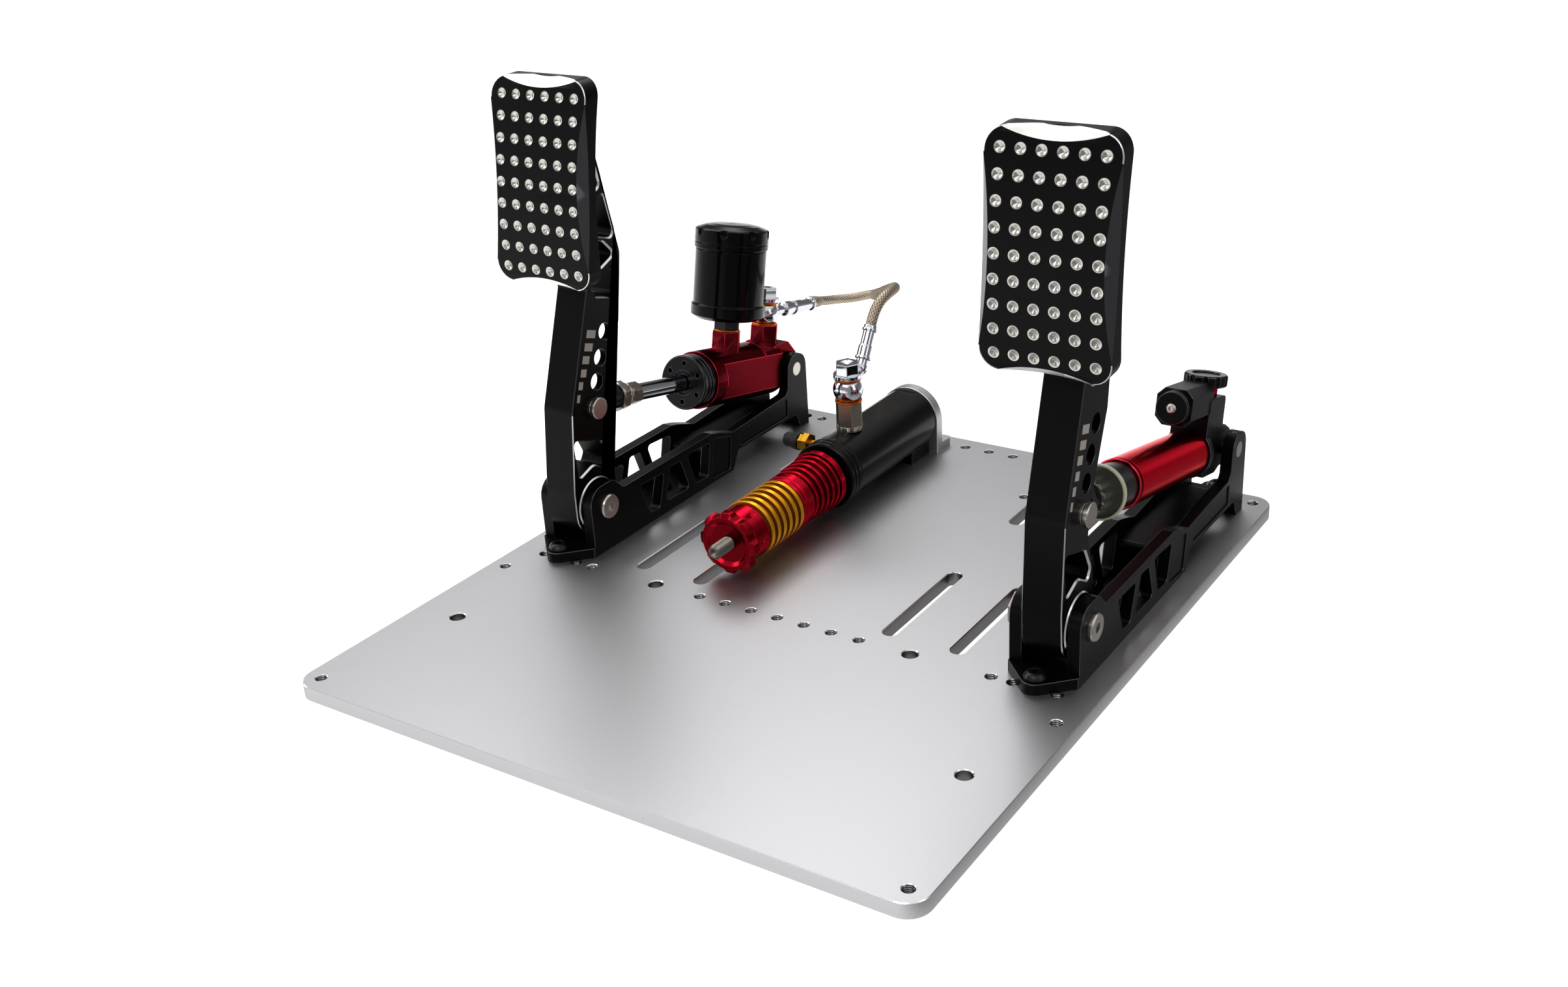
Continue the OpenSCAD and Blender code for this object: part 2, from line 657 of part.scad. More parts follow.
module pedal_face(side) {
    at_pivot(side) difference() {
        intersection() {
            translate([0, bend_y - face_bend_r + 10, face_mid_z]) rotate([90, 0, 0]) translate([0, 0, -20])
                round_plate(face_w, face_h, 60, face_corner_r);
            difference() {
                translate([0, bend_y, bend_z]) across(face_w + 2 * over, face_bend_r, 0, $fn = 240);
                translate([0, bend_y, bend_z]) across(face_w + 4 * over, face_bend_r - face_t, 0, $fn = 240);
            }
        }
        on_face(face_w / 2, 0) scoop_cone(side_scoop, side_scoop_reach, 1 / (2 * face_bend_r));
        on_face(-face_w / 2, 0) mirror([1, 0, 0]) scoop_cone(side_scoop, side_scoop_reach, 1 / (2 * face_bend_r));
        on_face(0, face_h / 2) rotate([0, -90, 0]) scoop_cone(end_scoop, end_scoop_reach, 0);
        on_face(0, -face_h / 2) rotate([0, 90, 0]) scoop_cone(end_scoop, end_scoop_reach, 0);
        for (i = [0:dimple_columns - 1], j = [0:dimple_rows - 1])
            on_face((i - (dimple_columns - 1) / 2) * dimple_pitch_x, (j - (dimple_rows - 1) / 2) * dimple_pitch_z)
                along(-0.5, 0.5 + dimple_r * 0.58, dimple_r + 0.86, 0.01);
        for (z = screw_heights) translate([0, seat_y(z) - 7, z]) along(0, 12, 2.5 + running_fit);
    }
}

module brake_face() {
    color("#232325") pedal_face(left);
}

module throttle_face() {
    color("#232325") pedal_face(right);
}

module face_screws(side) {
    at_pivot(side) for (z = screw_heights) translate([0, 0, z]) difference() {
        union() {
            along(seat_y(z) - 6, screw_seat(z) - seat_y(z) + 6.5, 2.5);
            along(screw_seat(z), 5, 4.6);
        }
        translate([0, screw_seat(z) + 2.4, 0]) rotate([-90, 0, 0]) hex_bar(4, 4);
    }
}

module brake_face_screws() {
    color("#303032") face_screws(left);
}

module throttle_face_screws() {
    color("#303032") face_screws(right);
}

module clevis_pin(side) {
    at_pivot(side) translate([arm_w / 2, clevis_dy, clevis_dz]) rotate([0, 90, 0]) {
        translate([0, 0, -arm_w - 3.2]) cylinder(h = arm_w + 3.3, r = clevis_r);
        rotate_extrude() polygon([
            [0, 0], [clevis_head_r - 1.2, 0], [clevis_head_r - 1.2, clevis_head_h * 0.3],
            [clevis_head_r - 1.8, clevis_head_h * 0.36], [clevis_head_r - 1.8, clevis_head_h * 0.44],
            [clevis_head_r, clevis_head_h * 0.5], [clevis_head_r, clevis_head_h * 0.9],
            [clevis_head_r - 0.6, clevis_head_h], [0, clevis_head_h]
        ]);
    }
}

module brake_clevis_pin() {
    color("#b9b4ac") clevis_pin(left);
}

module throttle_clevis_pin() {
    color("#b9b4ac") clevis_pin(right);
}

// Flanged bushes: a sleeve in the arm's bore and a flange in the side gap
module bushes(side) {
    half = inner_w / 2 - side_gap;
    at_pivot(side) for (end = [-1, 1]) rotate([0, end * 90, 0]) difference() {
        union() {
            translate([0, 0, 2]) cylinder(h = half - 2, r = seat_r);
            translate([0, 0, half]) cylinder(h = side_gap - 0.1, r = seat_r + 3);
        }
        cylinder(h = half + over, r = pivot_r + running_fit);
    }
}

module brake_bushes() {
    color("#c49a4a") bushes(left);
}

module throttle_bushes() {
    color("#c49a4a") bushes(right);
}

// Rod end: an eye round the clevis pin and a shank to the jam nut
module rod_end(side, length) {
    at_clevis(side) difference() {
        union() {
            across(fork_w - 2 * side_gap, eye_r);
            along(eye_r - 3, neck_end - eye_r + 3, neck_r);
            along(neck_end, 1.5, neck_r, shank_r);
            along(neck_end + 1.49, length - neck_end - 1.49, shank_r);
        }
        across(fork_w + 2 * over, clevis_r + open_gap);
    }
}

module nut_along(y0, length, flats, bore) {
    translate([0, y0, 0]) rotate([-90, 0, 0]) difference() {
        hex_bar(flats, length);
        translate([0, 0, -over]) cylinder(h = length + 2 * over, r = bore);
    }
}

module brake_rod_end() {
    color("#1d1d1f") rod_end(left, rod_end_len);
}

module brake_jam_nut() {
    color("#a9a59c") at_clevis(left) {
        nut_along(rod_end_len, nut_t, 18.8, rod_r - 1);
        translate([0, rod_end_len + nut_t, 0]) turned([
            [rod_r - 1, 0], [8, 0], [8, 1.4], [7, 1.9], [7, 2.9], [7.8, 3.4], [7.8, 4.6], [rod_r - 1, 4.6]
        ]);
    }
}

// Push rod with a hexagon for the wrench
module push_rod() {
    flats_at = rod_end_len + nut_t + 4.6;
    color("#d4d6da") at_clevis(left) {
        along(rod_end_len, flats_at - rod_end_len, rod_r - 1);
        nut_along(flats_at, rod_hex_len, 14.4, 0.01);
        along(flats_at + rod_hex_len - 1, rod_len, rod_r);
    }
}

module master_piston() {
    color("#c9cbcf") at_clevis(left) {
        reach = rod_end_len + nut_t + 4.6 + 116;
        translate([0, reach, 0]) turned([
            [0, 0], [master_bore_r - running_fit, 0], [master_bore_r - running_fit, 4], [master_bore_r - 1.5, 4.5],
            [master_bore_r - 1.5, 8], [master_bore_r - running_fit, 8.5], [master_bore_r - running_fit, 13], [0, 13]
        ]);
    }
}

module master_spring() {
    reach = rod_end_len + nut_t + 4.6 + 129 - pin_span(left);
    color("#c9cbcf") at_cylinder(left) difference() {
        along(reach, -18 - reach, master_bore_r - 1);
        along(reach - over, -18 - reach + 2 * over, master_bore_r - 3.5);
    }
}

// Brake master cylinder
module boss_prism(ahead) {
    translate([0, -ahead, boss_base]) hex_bar(20, boss_top - boss_base);
}

module master_cylinder() {
    body_start = gland_ahead - gland_len;
    flange_end = body_start - master_flange_len;
    color("#8e1220") at_cylinder(left) difference() {
        union() {
            along(-body_start, master_flange_len, master_r);
            intersection() {
                along(-body_start + 1, body_start - 1 - master_end, master_r);
                translate([-master_flat_x, -body_start, -master_r])
                    cube([2 * master_flat_x, body_start, 2 * master_r]);
            }
            translate([0, -flange_end, 0]) turned([[0, 0], [master_r, 0], [master_flat_x - 0.5, 4.5], [0, 4.5]]);
            slab(-inner_w / 2 + side_gap, inner_w - 2 * side_gap, [
                [-master_end - 8, -13, 2], [-master_end - 8, 19, 2], [-2, 21, 3], [10.8, 11, 3], [11.2, -8, 8],
                [3, -13, 4]
            ]);
            boss_prism(reservoir_ahead);
            boss_prism(outlet_ahead);
        }
        difference() {
            along(-37.4, 1.6, master_r + over);
            along(-37.4 - over, 1.6 + 2 * over, master_r - 0.9);
        }
        along(-body_start - over, body_start + over - 18, master_bore_r);
        across(inner_w, rear_pin_r + running_fit);
        for (y = [reservoir_ahead, outlet_ahead + 6])
            translate([0, -y, 0]) cylinder(h = boss_base + 0.5, r = 3);
        translate([0, -reservoir_ahead, boss_base]) cylinder(h = boss_top, r = 4.6);
        translate([0, -outlet_ahead, boss_base]) cylinder(h = boss_top, r = banjo_bolt_r);
    }
}

module master_gland() {
    color("#1a1a1c") at_cylinder(left) translate([0, -gland_ahead, 0]) difference() {
        turned([
            [rod_r + running_fit, 0], [gland_r - 0.8, 0], [gland_r, 0.8], [gland_r, 3.4], [gland_r - 0.7, 4],
            [gland_r - 0.7, 5], [gland_r, 5.6], [gland_r, 7.6], [gland_r - 0.7, 8.2], [gland_r - 0.7, 9.2],
            [gland_r, 9.8], [gland_r, gland_len], [rod_r + running_fit, gland_len]
        ]);
        along(-over, 2.4, rod_r + 3);
        for (a = [30:60:330]) translate([14.4 * cos(a), 0, 14.4 * sin(a)]) along(-over, 5, 1.9);
    }
}

module reservoir_nut() {
    color("#222224") at_cylinder(left) translate([0, -reservoir_ahead, boss_top + washer_t]) {
        hex_bar(18, reservoir_base - boss_top - washer_t);
        translate([0, 0, -washer_t - 8]) cylinder(h = washer_t + 8.01, r = 4.5);
    }
}

module copper_washer(bore) {
    difference() {
        cylinder(h = washer_t, r = washer_r);
        translate([0, 0, -over]) cylinder(h = washer_t + 2 * over, r = bore);
    }
}

module master_washers() {
    color("#c8702c") at_cylinder(left) {
        translate([0, -reservoir_ahead, boss_top]) copper_washer(4.6);
        translate([0, -outlet_ahead, boss_top]) banjo_washers();
    }
}

// Two sealing washers, under and over a banjo's ball
module banjo_washers() {
    copper_washer(banjo_bolt_r + 0.1);
    translate([0, 0, washer_t + banjo_height()]) copper_washer(banjo_bolt_r + 0.1);
}

function banjo_height() = 1.5 * banjo_r;

// Hollow banjo: a ball with flat ends, square on the bolt
module banjo_ball() {
    difference() {
        intersection() {
            translate([0, 0, banjo_height() / 2]) sphere(r = banjo_r + 0.6);
            cylinder(h = banjo_height(), r = banjo_r + 2);
        }
        translate([0, 0, -over]) cylinder(h = banjo_height() + 2 * over, r = banjo_bolt_r + 0.1);
        translate([0, 0, banjo_height() / 2]) rotate_extrude()
            polygon([[banjo_bolt_r, -3], [banjo_bolt_r + 1.6, -3], [banjo_bolt_r + 1.6, 3], [banjo_bolt_r, 3]]);
    }
}

// Crimped ferrule along Z: a flange at its foot, a crimped waist and a lip next to the hose
module ferrule(length) {
    rotate_extrude() polygon([
        [0, 0], [ferrule_r + 0.2, 0], [ferrule_r + 0.9, 0.6], [ferrule_r + 0.9, 1.8], [ferrule_r + 0.2, 2.4],
        [ferrule_r + 0.2, 0.38 * length], [ferrule_r - 0.5, 0.42 * length], [ferrule_r - 0.5, length - 4.6],
        [ferrule_r + 0.6, length - 4], [ferrule_r + 0.6, length - 2.8], [ferrule_r, length - 2.2],
        [ferrule_r, length - 0.5], [ferrule_r - 0.5, length], [0, length]
    ]);
}

module banjo_bolt() {
    stack = 2 * washer_t + banjo_height();
    translate([0, 0, -7]) cylinder(h = stack + 7.01, r = banjo_bolt_r);
    translate([0, 0, stack]) {
        cylinder(h = 3, r = washer_r + 0.6);
        difference() {
            translate([0, 0, 2.9]) hex_bar(bolt_flats, 8);
            translate([0, 0, 9.4]) cylinder(h = 1.6, r1 = 0.8, r2 = bolt_flats / 2 - 1.8);
        }
    }
}

module master_banjo() {
    color("#d9dbde") at_cylinder(left) translate([0, -outlet_ahead, boss_top + washer_t]) {
        banjo_ball();
        translate([0, 0, banjo_height() / 2]) rotate([neck_rise, 0, 0]) {
            along(banjo_r - 1.6, 18, 3.6);
            translate([0, 22.4, 0]) turned([
                [0, 0], [3.4, 0], [5.8, 2.5], [5.8, 10], [4.9, 11.5], [4.9, 15.2], [0, 15.2]
            ]);
            translate([0, 37.2, 0]) rotate([-90, 0, 0]) ferrule(30.2);
        }
    }
}

module master_banjo_bolt() {
    color("#c3c5c9") at_cylinder(left) translate([0, -outlet_ahead, boss_top]) banjo_bolt();
}

module reservoir() {
    color("#19191b") at_cylinder(left) translate([0, -reservoir_ahead, reservoir_base]) difference() {
        rotate_extrude() polygon([
            [0, 0], [reservoir_r - 3.5, 0], [reservoir_r + 1.3, 3], [reservoir_r + 1.3, 11], [reservoir_r + 0.6, 11.4],
            [reservoir_r, 12], [reservoir_r, reservoir_h - 0.01], [0, reservoir_h - 0.01]
        ]);
        translate([0, 0, reservoir_wall + 2]) cylinder(h = reservoir_h, r = reservoir_r - reservoir_wall);
        translate([0, 0, -over]) cylinder(h = reservoir_wall + 4 + over, r = 2.5);
    }
}

module reservoir_lid() {
    color("#19191b") at_cylinder(left) translate([0, -reservoir_ahead, reservoir_base + reservoir_h]) difference() {
        rotate_extrude() polygon([
            [0, -5], [reservoir_r - reservoir_wall - 0.3, -5], [reservoir_r - reservoir_wall - 0.3, 0],
            [lid_r - 1, 0], [lid_r - 1, 0.5], [lid_r, 1], [lid_r, 4.6], [lid_r - 0.6, 5.1], [lid_r, 5.6],
            [lid_r, lid_h - 1], [lid_r - 1.4, lid_h], [lid_r * 0.72, lid_h + 2.6], [lid_r * 0.5, lid_h + 3.8],
            [0, lid_h + 4.6]
        ]);
        for (a = [22.5:45:359]) rotate([0, 0, a]) translate([lid_r + 1.9, 0, 8.5]) rotate_extrude()
            polygon([[0, 0], [1.6, 0.3], [2.8, 1.3], [3.4, 2.4], [3.6, 3.6], [3.6, lid_h], [0, lid_h]]);
        translate([0, 0, lid_h + 2.4]) difference() {
            cylinder(h = 5, r = 10);
            translate([-3, -12, -over]) cube([6, 24, 8]);
        }
    }
}

// Brake hose: one tube swept along the route
hose_sides = 10;
function tangent(i) = unit(hose_route[min(i + 1, len(hose_route) - 1)] - hose_route[max(i - 1, 0)]);
function hose_normal(i) =
    let (t = tangent(i), before = i == 0 ? [1, 0, 0] : hose_normal(i - 1))
    unit(before - t * (t * before));

module brake_hose() {
    count = len(hose_route);
    normals = [for (i = [0:count - 1]) hose_normal(i)];
    points = [for (i = [0:count - 1], j = [0:hose_sides - 1])
        hose_route[i] + hose_d / 2 * (cos(360 * j / hose_sides) * normals[i]
            + sin(360 * j / hose_sides) * cross(tangent(i), normals[i]))];
    walls = [for (i = [0:count - 2], j = [0:hose_sides - 1])
        let (k = (j + 1) % hose_sides, a = i * hose_sides, b = a + hose_sides)
        each [[a + j, b + k, a + k], [a + j, b + j, b + k]]];
    first = [[for (j = [0:hose_sides - 1]) j]];
    last = [[for (j = [hose_sides - 1:-1:0]) (count - 1) * hose_sides + j]];
    color("#b8b4a8") polyhedron(points, concat(first, last, walls), 8);
}

// Slave cylinder
module slave_tube() {
    start = collar_y + collar_len;
    color("#1b1b1d") at_slave() difference() {
        along(start, bracket_y - start, slave_r);
        along(start - over, bracket_y - start - 14, slave_bore_r);
        along(start, bracket_y - start + over, stud_r + 0.2);
        translate([-slave_r, port_y + 14, slave_r - 1.8]) cube([2 * slave_r, 66, 4]);
        translate([0, port_y, slave_bore_r - 2]) cylinder(h = 12, r = port_r + port_room);
        translate([0, port_y, slave_r - spot_depth]) cylinder(h = 4, r = 9.4 + port_room);
        translate([-slave_r - over, start + 6, 13.5]) rotate([0, 90, 0]) cylinder(h = 16, r = 3);
    }
}

module slave_collar() {
    color("#1d1d1f") at_slave() translate([0, collar_y, 0]) turned(concat(
        [[12.5, 0]],
        [for (i = [0:2]) each [
            [collar_r - 1.2, i * 4.4], [collar_r, i * 4.4 + 0.7], [collar_r, i * 4.4 + 3.1],
            [collar_r - 1.2, i * 4.4 + 3.8]
        ]],
        [[collar_r - 1.2, collar_len], [12.5, collar_len]]
    ));
}

// Block that carries the tube's rear end on the plate
module slave_saddle() {
    color("#1f1f21") difference() {
        translate([-slave_x - 17, bracket_y - saddle_len, plate_t]) cube([34, saddle_len, slave_h - 8]);
        at_slave() along(bracket_y - saddle_len - over, saddle_len + 2 * over, slave_r + 0.02);
    }
}

module slave_bracket() {
    color("silver") difference() {
        union() {
            at_slave() along(bracket_y, bracket_t, bracket_half_w);
            translate([-slave_x - bracket_half_w, bracket_y, plate_t])
                cube([2 * bracket_half_w, bracket_t, slave_h]);
            translate([-slave_x - bracket_half_w, bracket_y, plate_t]) cube([2 * bracket_half_w, 20, tab_t]);
            translate([-slave_x - 3, 0, plate_t]) nose(bracket_y + 10, rear_row_y + 9, 10, 8);
        }
        at_slave() along(bracket_y - over, bracket_t + 2 * over, stud_r + 0.2);
        translate([-slave_x - 3, rear_row_y, 0]) cylinder(h = 40, r = tap_r + running_fit);
    }
}

module threaded_rod() {
    color("#b5b5b8") at_slave() difference() {
        union() {
            along(stud_tip_y + 1.5, bracket_y + bracket_t + 3 - stud_tip_y, stud_r);
            along(stud_tip_y, 1.51, stud_r - 1.2, stud_r);
        }
        translate([0, stud_tip_y - over, 0]) rotate([-90, 0, 0]) hex_bar(5, 5);
    }
}

module preload_knob() {
    color("#c81e2a") at_slave() difference() {
        union() {
            along(knob_y, 2.01, knob_r - 3.4, knob_r);
            along(knob_y + 2, knob_t - 2, knob_r);
        }
        for (i = [0:knob_lobes - 1]) rotate([0, (i + 0.5) * 360 / knob_lobes, 0])
            translate([knob_r + 4, 0, 0]) along(knob_y - over, knob_t + 2 * over, 6.8);
        along(knob_y - over, knob_t + 2 * over, stud_r + running_fit);
        along(knob_y - 0.01, 2.2, knob_r - 6, knob_r - 8.4);
    }
}

module red_sleeve() {
    start = knob_y + knob_t + 0.3;
    length = sleeve_end_y - start;
    color("#c81e2a") at_slave() difference() {
        translate([0, start, 0]) turned([
            [stud_r + 0.2, 0], [sleeve_r - 0.8, 0], [sleeve_r, 0.8], [sleeve_r, length - 0.8],
            [sleeve_r - 0.8, length], [stud_r + 0.2, length]
        ]);
        for (a = [0:60:300]) rotate([0, a, 0]) translate([sleeve_r - 4, start + length / 2, 0])
            rotate([0, 90, 0]) cylinder(h = 6, r = 1.8);
    }
}

// Disc pack: each disc is a short double cone
module disc_pack(y0, y1, count, r, r_low, bore) {
    pitch = (y1 - y0) / count;
    translate([0, y0, 0]) turned(concat(
        [[bore, 0]],
        [for (i = [0:count - 1]) each [
            [r_low, i * pitch], [r, (i + 0.38) * pitch], [r, (i + 0.62) * pitch], [r_low, (i + 1) * pitch - 0.01]
        ]],
        [[bore, y1 - y0 - 0.01]]
    ));
}

module gold_disc_springs() {
    color("#c79a3a") at_slave() disc_pack(sleeve_end_y, mid_y, gold_count, gold_r, gold_r - 3.6, stud_r + 0.6);
}

module red_collar() {
    color("#c81e2a") at_slave() {
        translate([0, mid_y, 0]) turned([
            [stud_r + running_fit, 0], [mid_r - 0.8, 0], [mid_r, 0.8], [mid_r, 3], [mid_r - 0.7, 3.6], [mid_r - 0.7, 4.6],
            [mid_r, 5.2], [mid_r, mid_len - 0.8], [mid_r - 0.8, mid_len], [stud_r + running_fit, mid_len]
        ]);
    }
}

module red_discs() {
    color("#c81e2a") at_slave()
        disc_pack(mid_y + mid_len, flange_y, red_count, red_r, red_r - 3.4, stud_r + 0.6);
}

module slave_piston() {
    stem_r = 12;
    head = collar_y + collar_len + 7;
    color("#26262a") at_slave() translate([0, flange_y, 0]) turned([
        [stud_r + running_fit, 0], [red_r + 0.5, 0], [red_r + 0.5, flange_t], [stem_r, flange_t],
        [stem_r, head - flange_y], [slave_bore_r - running_fit, head - flange_y],
        [slave_bore_r - running_fit, head - flange_y + 12], [stud_r + running_fit, head - flange_y + 12]
    ]);
}

module hex_adapter() {
    color("#a8a49c") translate([-slave_x, port_y, plate_t]) difference() {
        union() {
            translate([0, 0, slave_h + slave_bore_r + 1]) cylinder(h = 12, r = port_r);
            translate([0, 0, slave_h + slave_r - spot_depth]) cylinder(h = 4, r = 9.4);
            translate([0, 0, slave_h + slave_r + 1]) rotate([0, 0, 12])
                hex_bar(17, adapter_top - slave_h - slave_r - 1);
        }
        translate([0, 0, adapter_top - 8]) cylinder(h = 9, r = banjo_bolt_r);
        translate([0, 0, slave_h + slave_bore_r]) cylinder(h = 40, r = 1.6);
    }
}

module slave_washers() {
    color("#c8702c") translate([-slave_x, port_y, plate_t + adapter_top]) banjo_washers();
}

// Second banjo: its neck rises to the rear and bends up into the ferrule
module slave_banjo() {
    mid = plate_t + adapter_top + washer_t + banjo_height() / 2;
    elbow = [-slave_x, port_y + 17.5, mid + 9.8];
    hose_end = hose_route[len(hose_route) - 1];
    run = hose_end - elbow;
    rise = atan2(elbow[2] - mid, elbow[1] - port_y);
    color("#d9dbde") {
        translate([-slave_x, port_y, plate_t + adapter_top + washer_t]) banjo_ball();
        difference() {
            translate([-slave_x, port_y, mid]) rotate([rise, 0, 0])
                along(banjo_r - 2.2, norm([elbow[1] - port_y, elbow[2] - mid]) - banjo_r + 2.2, 4.2);
            translate([-slave_x, port_y, mid + banjo_height() / 2 - 0.5]) cylinder(h = 20, r = washer_r + 0.9);
        }
        translate(elbow) sphere(r = 5.2);
        translate(elbow) rotate([-atan2(run[1], run[2]), 0, 0]) {
            cylinder(h = 6.4, r = 4.5);
            translate([0, 0, 6.3]) ferrule(norm(run) - 6.3 - hose_gap);
        }
    }
}

module slave_banjo_bolt() {
    color("#c3c5c9") translate([-slave_x, port_y, plate_t + adapter_top]) banjo_bolt();
}

module at_nipple() {
    translate([-slave_x, collar_y + collar_len + 6, slave_z + 13.5]) rotate([0, -90, 0]) children();
}

module bleed_nipple() {
    root = sqrt(pow(slave_r, 2) - pow(13.5, 2)) - 1;
    color("#b8862e") at_nipple() {
        translate([0, 0, root - 4]) cylinder(h = 10, r = 2.95);
        translate([0, 0, root + 4.8]) hex_bar(13, 5);
        translate([0, 0, root + 9.7]) hex_bar(10.5, 3.5);
        translate([0, 0, root + 13]) cylinder(h = 7, r = nipple_r);
    }
}

module nipple_cap() {
    root = sqrt(pow(slave_r, 2) - pow(13.5, 2)) - 1;
    color("#151515") at_nipple() translate([0, 0, root + 13.4]) difference() {
        rotate_extrude() polygon([
            [0, 0], [6.4, 0], [6.6, 1], [6.2, 4], [5.6, 5], [5.4, 11], [4.4, 12.4], [0, 12.4]
        ]);
        translate([0, 0, -over]) cylinder(h = 7.2 + over, r = nipple_r + cap_room);
    }
}

// Throttle damper
module damper_tube() {
    color("#d31a22") at_cylinder(right) translate([0, -tube_ahead, 0]) turned([
        [tube_r - tube_wall, 0], [tube_r - 0.3, 0], [tube_r + 0.2, 0.5], [tube_r + 0.2, 1.2], [tube_r - 0.3, 1.5],
        [tube_r - 0.3, 5.2], [tube_r, 5.5], [tube_r, tube_len], [tube_r - tube_wall, tube_len]
    ]);
}

module damper_block() {
    start = -tube_ahead + tube_len;
    color("#1b1b1d") at_cylinder(right) difference() {
        union() {
            slab(-block_w / 2, block_w, [
                [start, -15, 3], [start, 22, 0], [start, block_top, 3], [-12.4, block_top, 4], [-12, 17.5, 2],
                [-6, 16.4, 3], [5, 12, 6], [11, 0, 9], [4, -11, 8], [-9, -11.5, 4], [-17, -15, 4]
            ]);
            along(start - 6, 7, tube_r - tube_wall - 0.02);
            along(start, 6, tube_r + 1.2);
        }
        across(block_w + 2 * over, rear_pin_r + running_fit);
        translate([0, -dial_ahead, block_top - 8]) cylinder(h = 10, r = 5);
        octagon_bar(canister_start + 5, canister_end, canister_half);
    }
}

// Bar along Y through the canister's middle, square with its four corners cut off
module octagon_bar(y0, y1, half) {
    cut = half * 0.42;
    translate([0, y0, canister_h]) rotate([-90, 0, 0]) linear_extrude(y1 - y0) polygon([
        [half, -half + cut], [half, half - cut], [half - cut, half], [-half + cut, half],
        [-half, half - cut], [-half, -half + cut], [-half + cut, -half], [half - cut, -half]
    ]);
}

module damper_canister() {
    color("#1c1c1e") at_cylinder(right) difference() {
        union() {
            octagon_bar(canister_start + 5, canister_end, canister_half);
            translate([0, 0, canister_h]) {
                along(canister_start + 2, 3.01, canister_half - 1.6, canister_half - 0.4);
                along(canister_start, 2.1, 10.6);
            }
        }
        translate([0, 0, canister_h]) along(canister_start - over, 9, 2.6);
    }
}

module canister_screw() {
    color("silver") at_cylinder(right) translate([0, canister_start, canister_h]) rotate([90, 0, 0])
        button_screw(2.5, 7, 3.4, 2);
}

module dial_ring() {
    color("#d31a22") at_cylinder(right) translate([0, -dial_ahead, block_top]) difference() {
        union() {
            cylinder(h = 5.4, r = 8.6);
            translate([0, 0, -7]) cylinder(h = 7.01, r = 4.9);
        }
        translate([0, 0, -8]) cylinder(h = 15, r = 2.5 + running_fit);
    }
}

module damper_dial() {
    color("#1b1b1d") at_cylinder(right) translate([0, -dial_ahead, block_top + 5.7]) {
        translate([0, 0, -10]) cylinder(h = 10.01, r = 2.5);
        difference() {
            rotate_extrude() polygon([
                [0, 0], [13.2, 0], [14.3, 1], [14.3, 6.9], [13.4, 7.9], [9.4, 7.9], [9, 6.9], [0, 6.9]
            ]);
            for (a = [0:36:324]) rotate([0, 0, a]) translate([16, 0, -over]) cylinder(h = 12, r = 2.7);
        }
    }
}

module damper_rod() {
    color("#cfd1d5") at_clevis(right) {
        reach = pin_span(right) - tube_ahead + 78;
        along(22, reach - 21, rod_r - 0.5);
        translate([0, reach, 0]) turned([
            [0, 0], [cup_r - 4, 0], [cup_r - 3.4, 0.6], [cup_r - 3.4, 7.4], [cup_r - 4, 8], [0, 8]
        ]);
    }
}

module throttle_rod_end() {
    color("#1d1d1f") {
        rod_end(right, 22);
        at_clevis(right) nut_along(22, 7, 18.8, rod_r - 0.45);
    }
}

// Black cup that holds the spring and telescopes into the red tube
module spring_cup() {
    color("#171719") at_clevis(right) difference() {
        translate([0, guard_end, 0]) turned([
            [0, 0], [cup_r - 1, 0], [cup_r, 1], [cup_r, cup_len], [cup_r - 3, cup_len], [cup_r - 3, 6], [0, 6]
        ]);
        along(guard_end - 2, 10, rod_r - 0.45);
    }
}

module throttle_spring() {
    start = guard_end + cup_len + 0.2 - pin_span(right);
    finish = -tube_ahead + tube_len - 7;
    color("#9a9a9e") at_cylinder(right) difference() {
        along(start, finish - start, cup_r - 0.4);
        along(start - over, finish - start + 2 * over, cup_r - 3);
    }
}

module guard_ring() {
    start = guard_end - guard_len;
    color("#dfe3d8", 0.4) at_clevis(right) difference() {
        translate([0, start, 0]) turned([
            [rod_r + 3, 0], [guard_r - 2.5, 0], [guard_r, 2.5], [guard_r, guard_len - 0.01], [0.5, guard_len - 0.01],
            [0.5, guard_len - 2], [guard_r - 2, guard_len - 2], [guard_r - 2, 3], [guard_r - 3.4, 1.8],
            [rod_r + 3, 1.8]
        ]);
        along(start - over, guard_len + 2 * over, rod_r - 0.45);
    }
}

module adjuster_knob() {
    start = guard_end - guard_len + 2.4;
    color("#1a1a1c") at_clevis(right) difference() {
        along(start, guard_len - 6, adjuster_r);
        for (i = [0:adjuster_flutes - 1]) rotate([0, i * 360 / adjuster_flutes, 0])
            translate([adjuster_r + 0.9, 0, 0]) along(start - over, guard_len - 4, 2.3);
        along(start - over, guard_len, rod_r - 0.5 + running_fit);
    }
}

base_plate();
brake_frame();
throttle_frame();
frame_screws();
pivot_bolts();
rear_pins();
ear_screws();
slave_tube();
slave_collar();
slave_saddle();
slave_bracket();
threaded_rod();
red_sleeve();
gold_disc_springs();
hex_adapter();
slave_washers();
slave_banjo();
slave_banjo_bolt();
bleed_nipple();
nipple_cap();
brake_hose();
preload_knob();
slave_piston();
red_discs();
red_collar();
brake_arm();
brake_face();
brake_face_screws();
brake_clevis_pin();
brake_bushes();
master_cylinder();
master_gland();
reservoir_nut();
master_washers();
reservoir();
master_banjo();
master_banjo_bolt();
reservoir_lid();
push_rod();
brake_rod_end();
brake_jam_nut();
master_piston();
master_spring();
throttle_arm();
throttle_face();
throttle_face_screws();
throttle_clevis_pin();
throttle_bushes();
damper_tube();
damper_block();
damper_canister();
canister_screw();
dial_ring();
damper_dial();
damper_rod();
spring_cup();
throttle_rod_end();
guard_ring();
adjuster_knob();
throttle_spring();
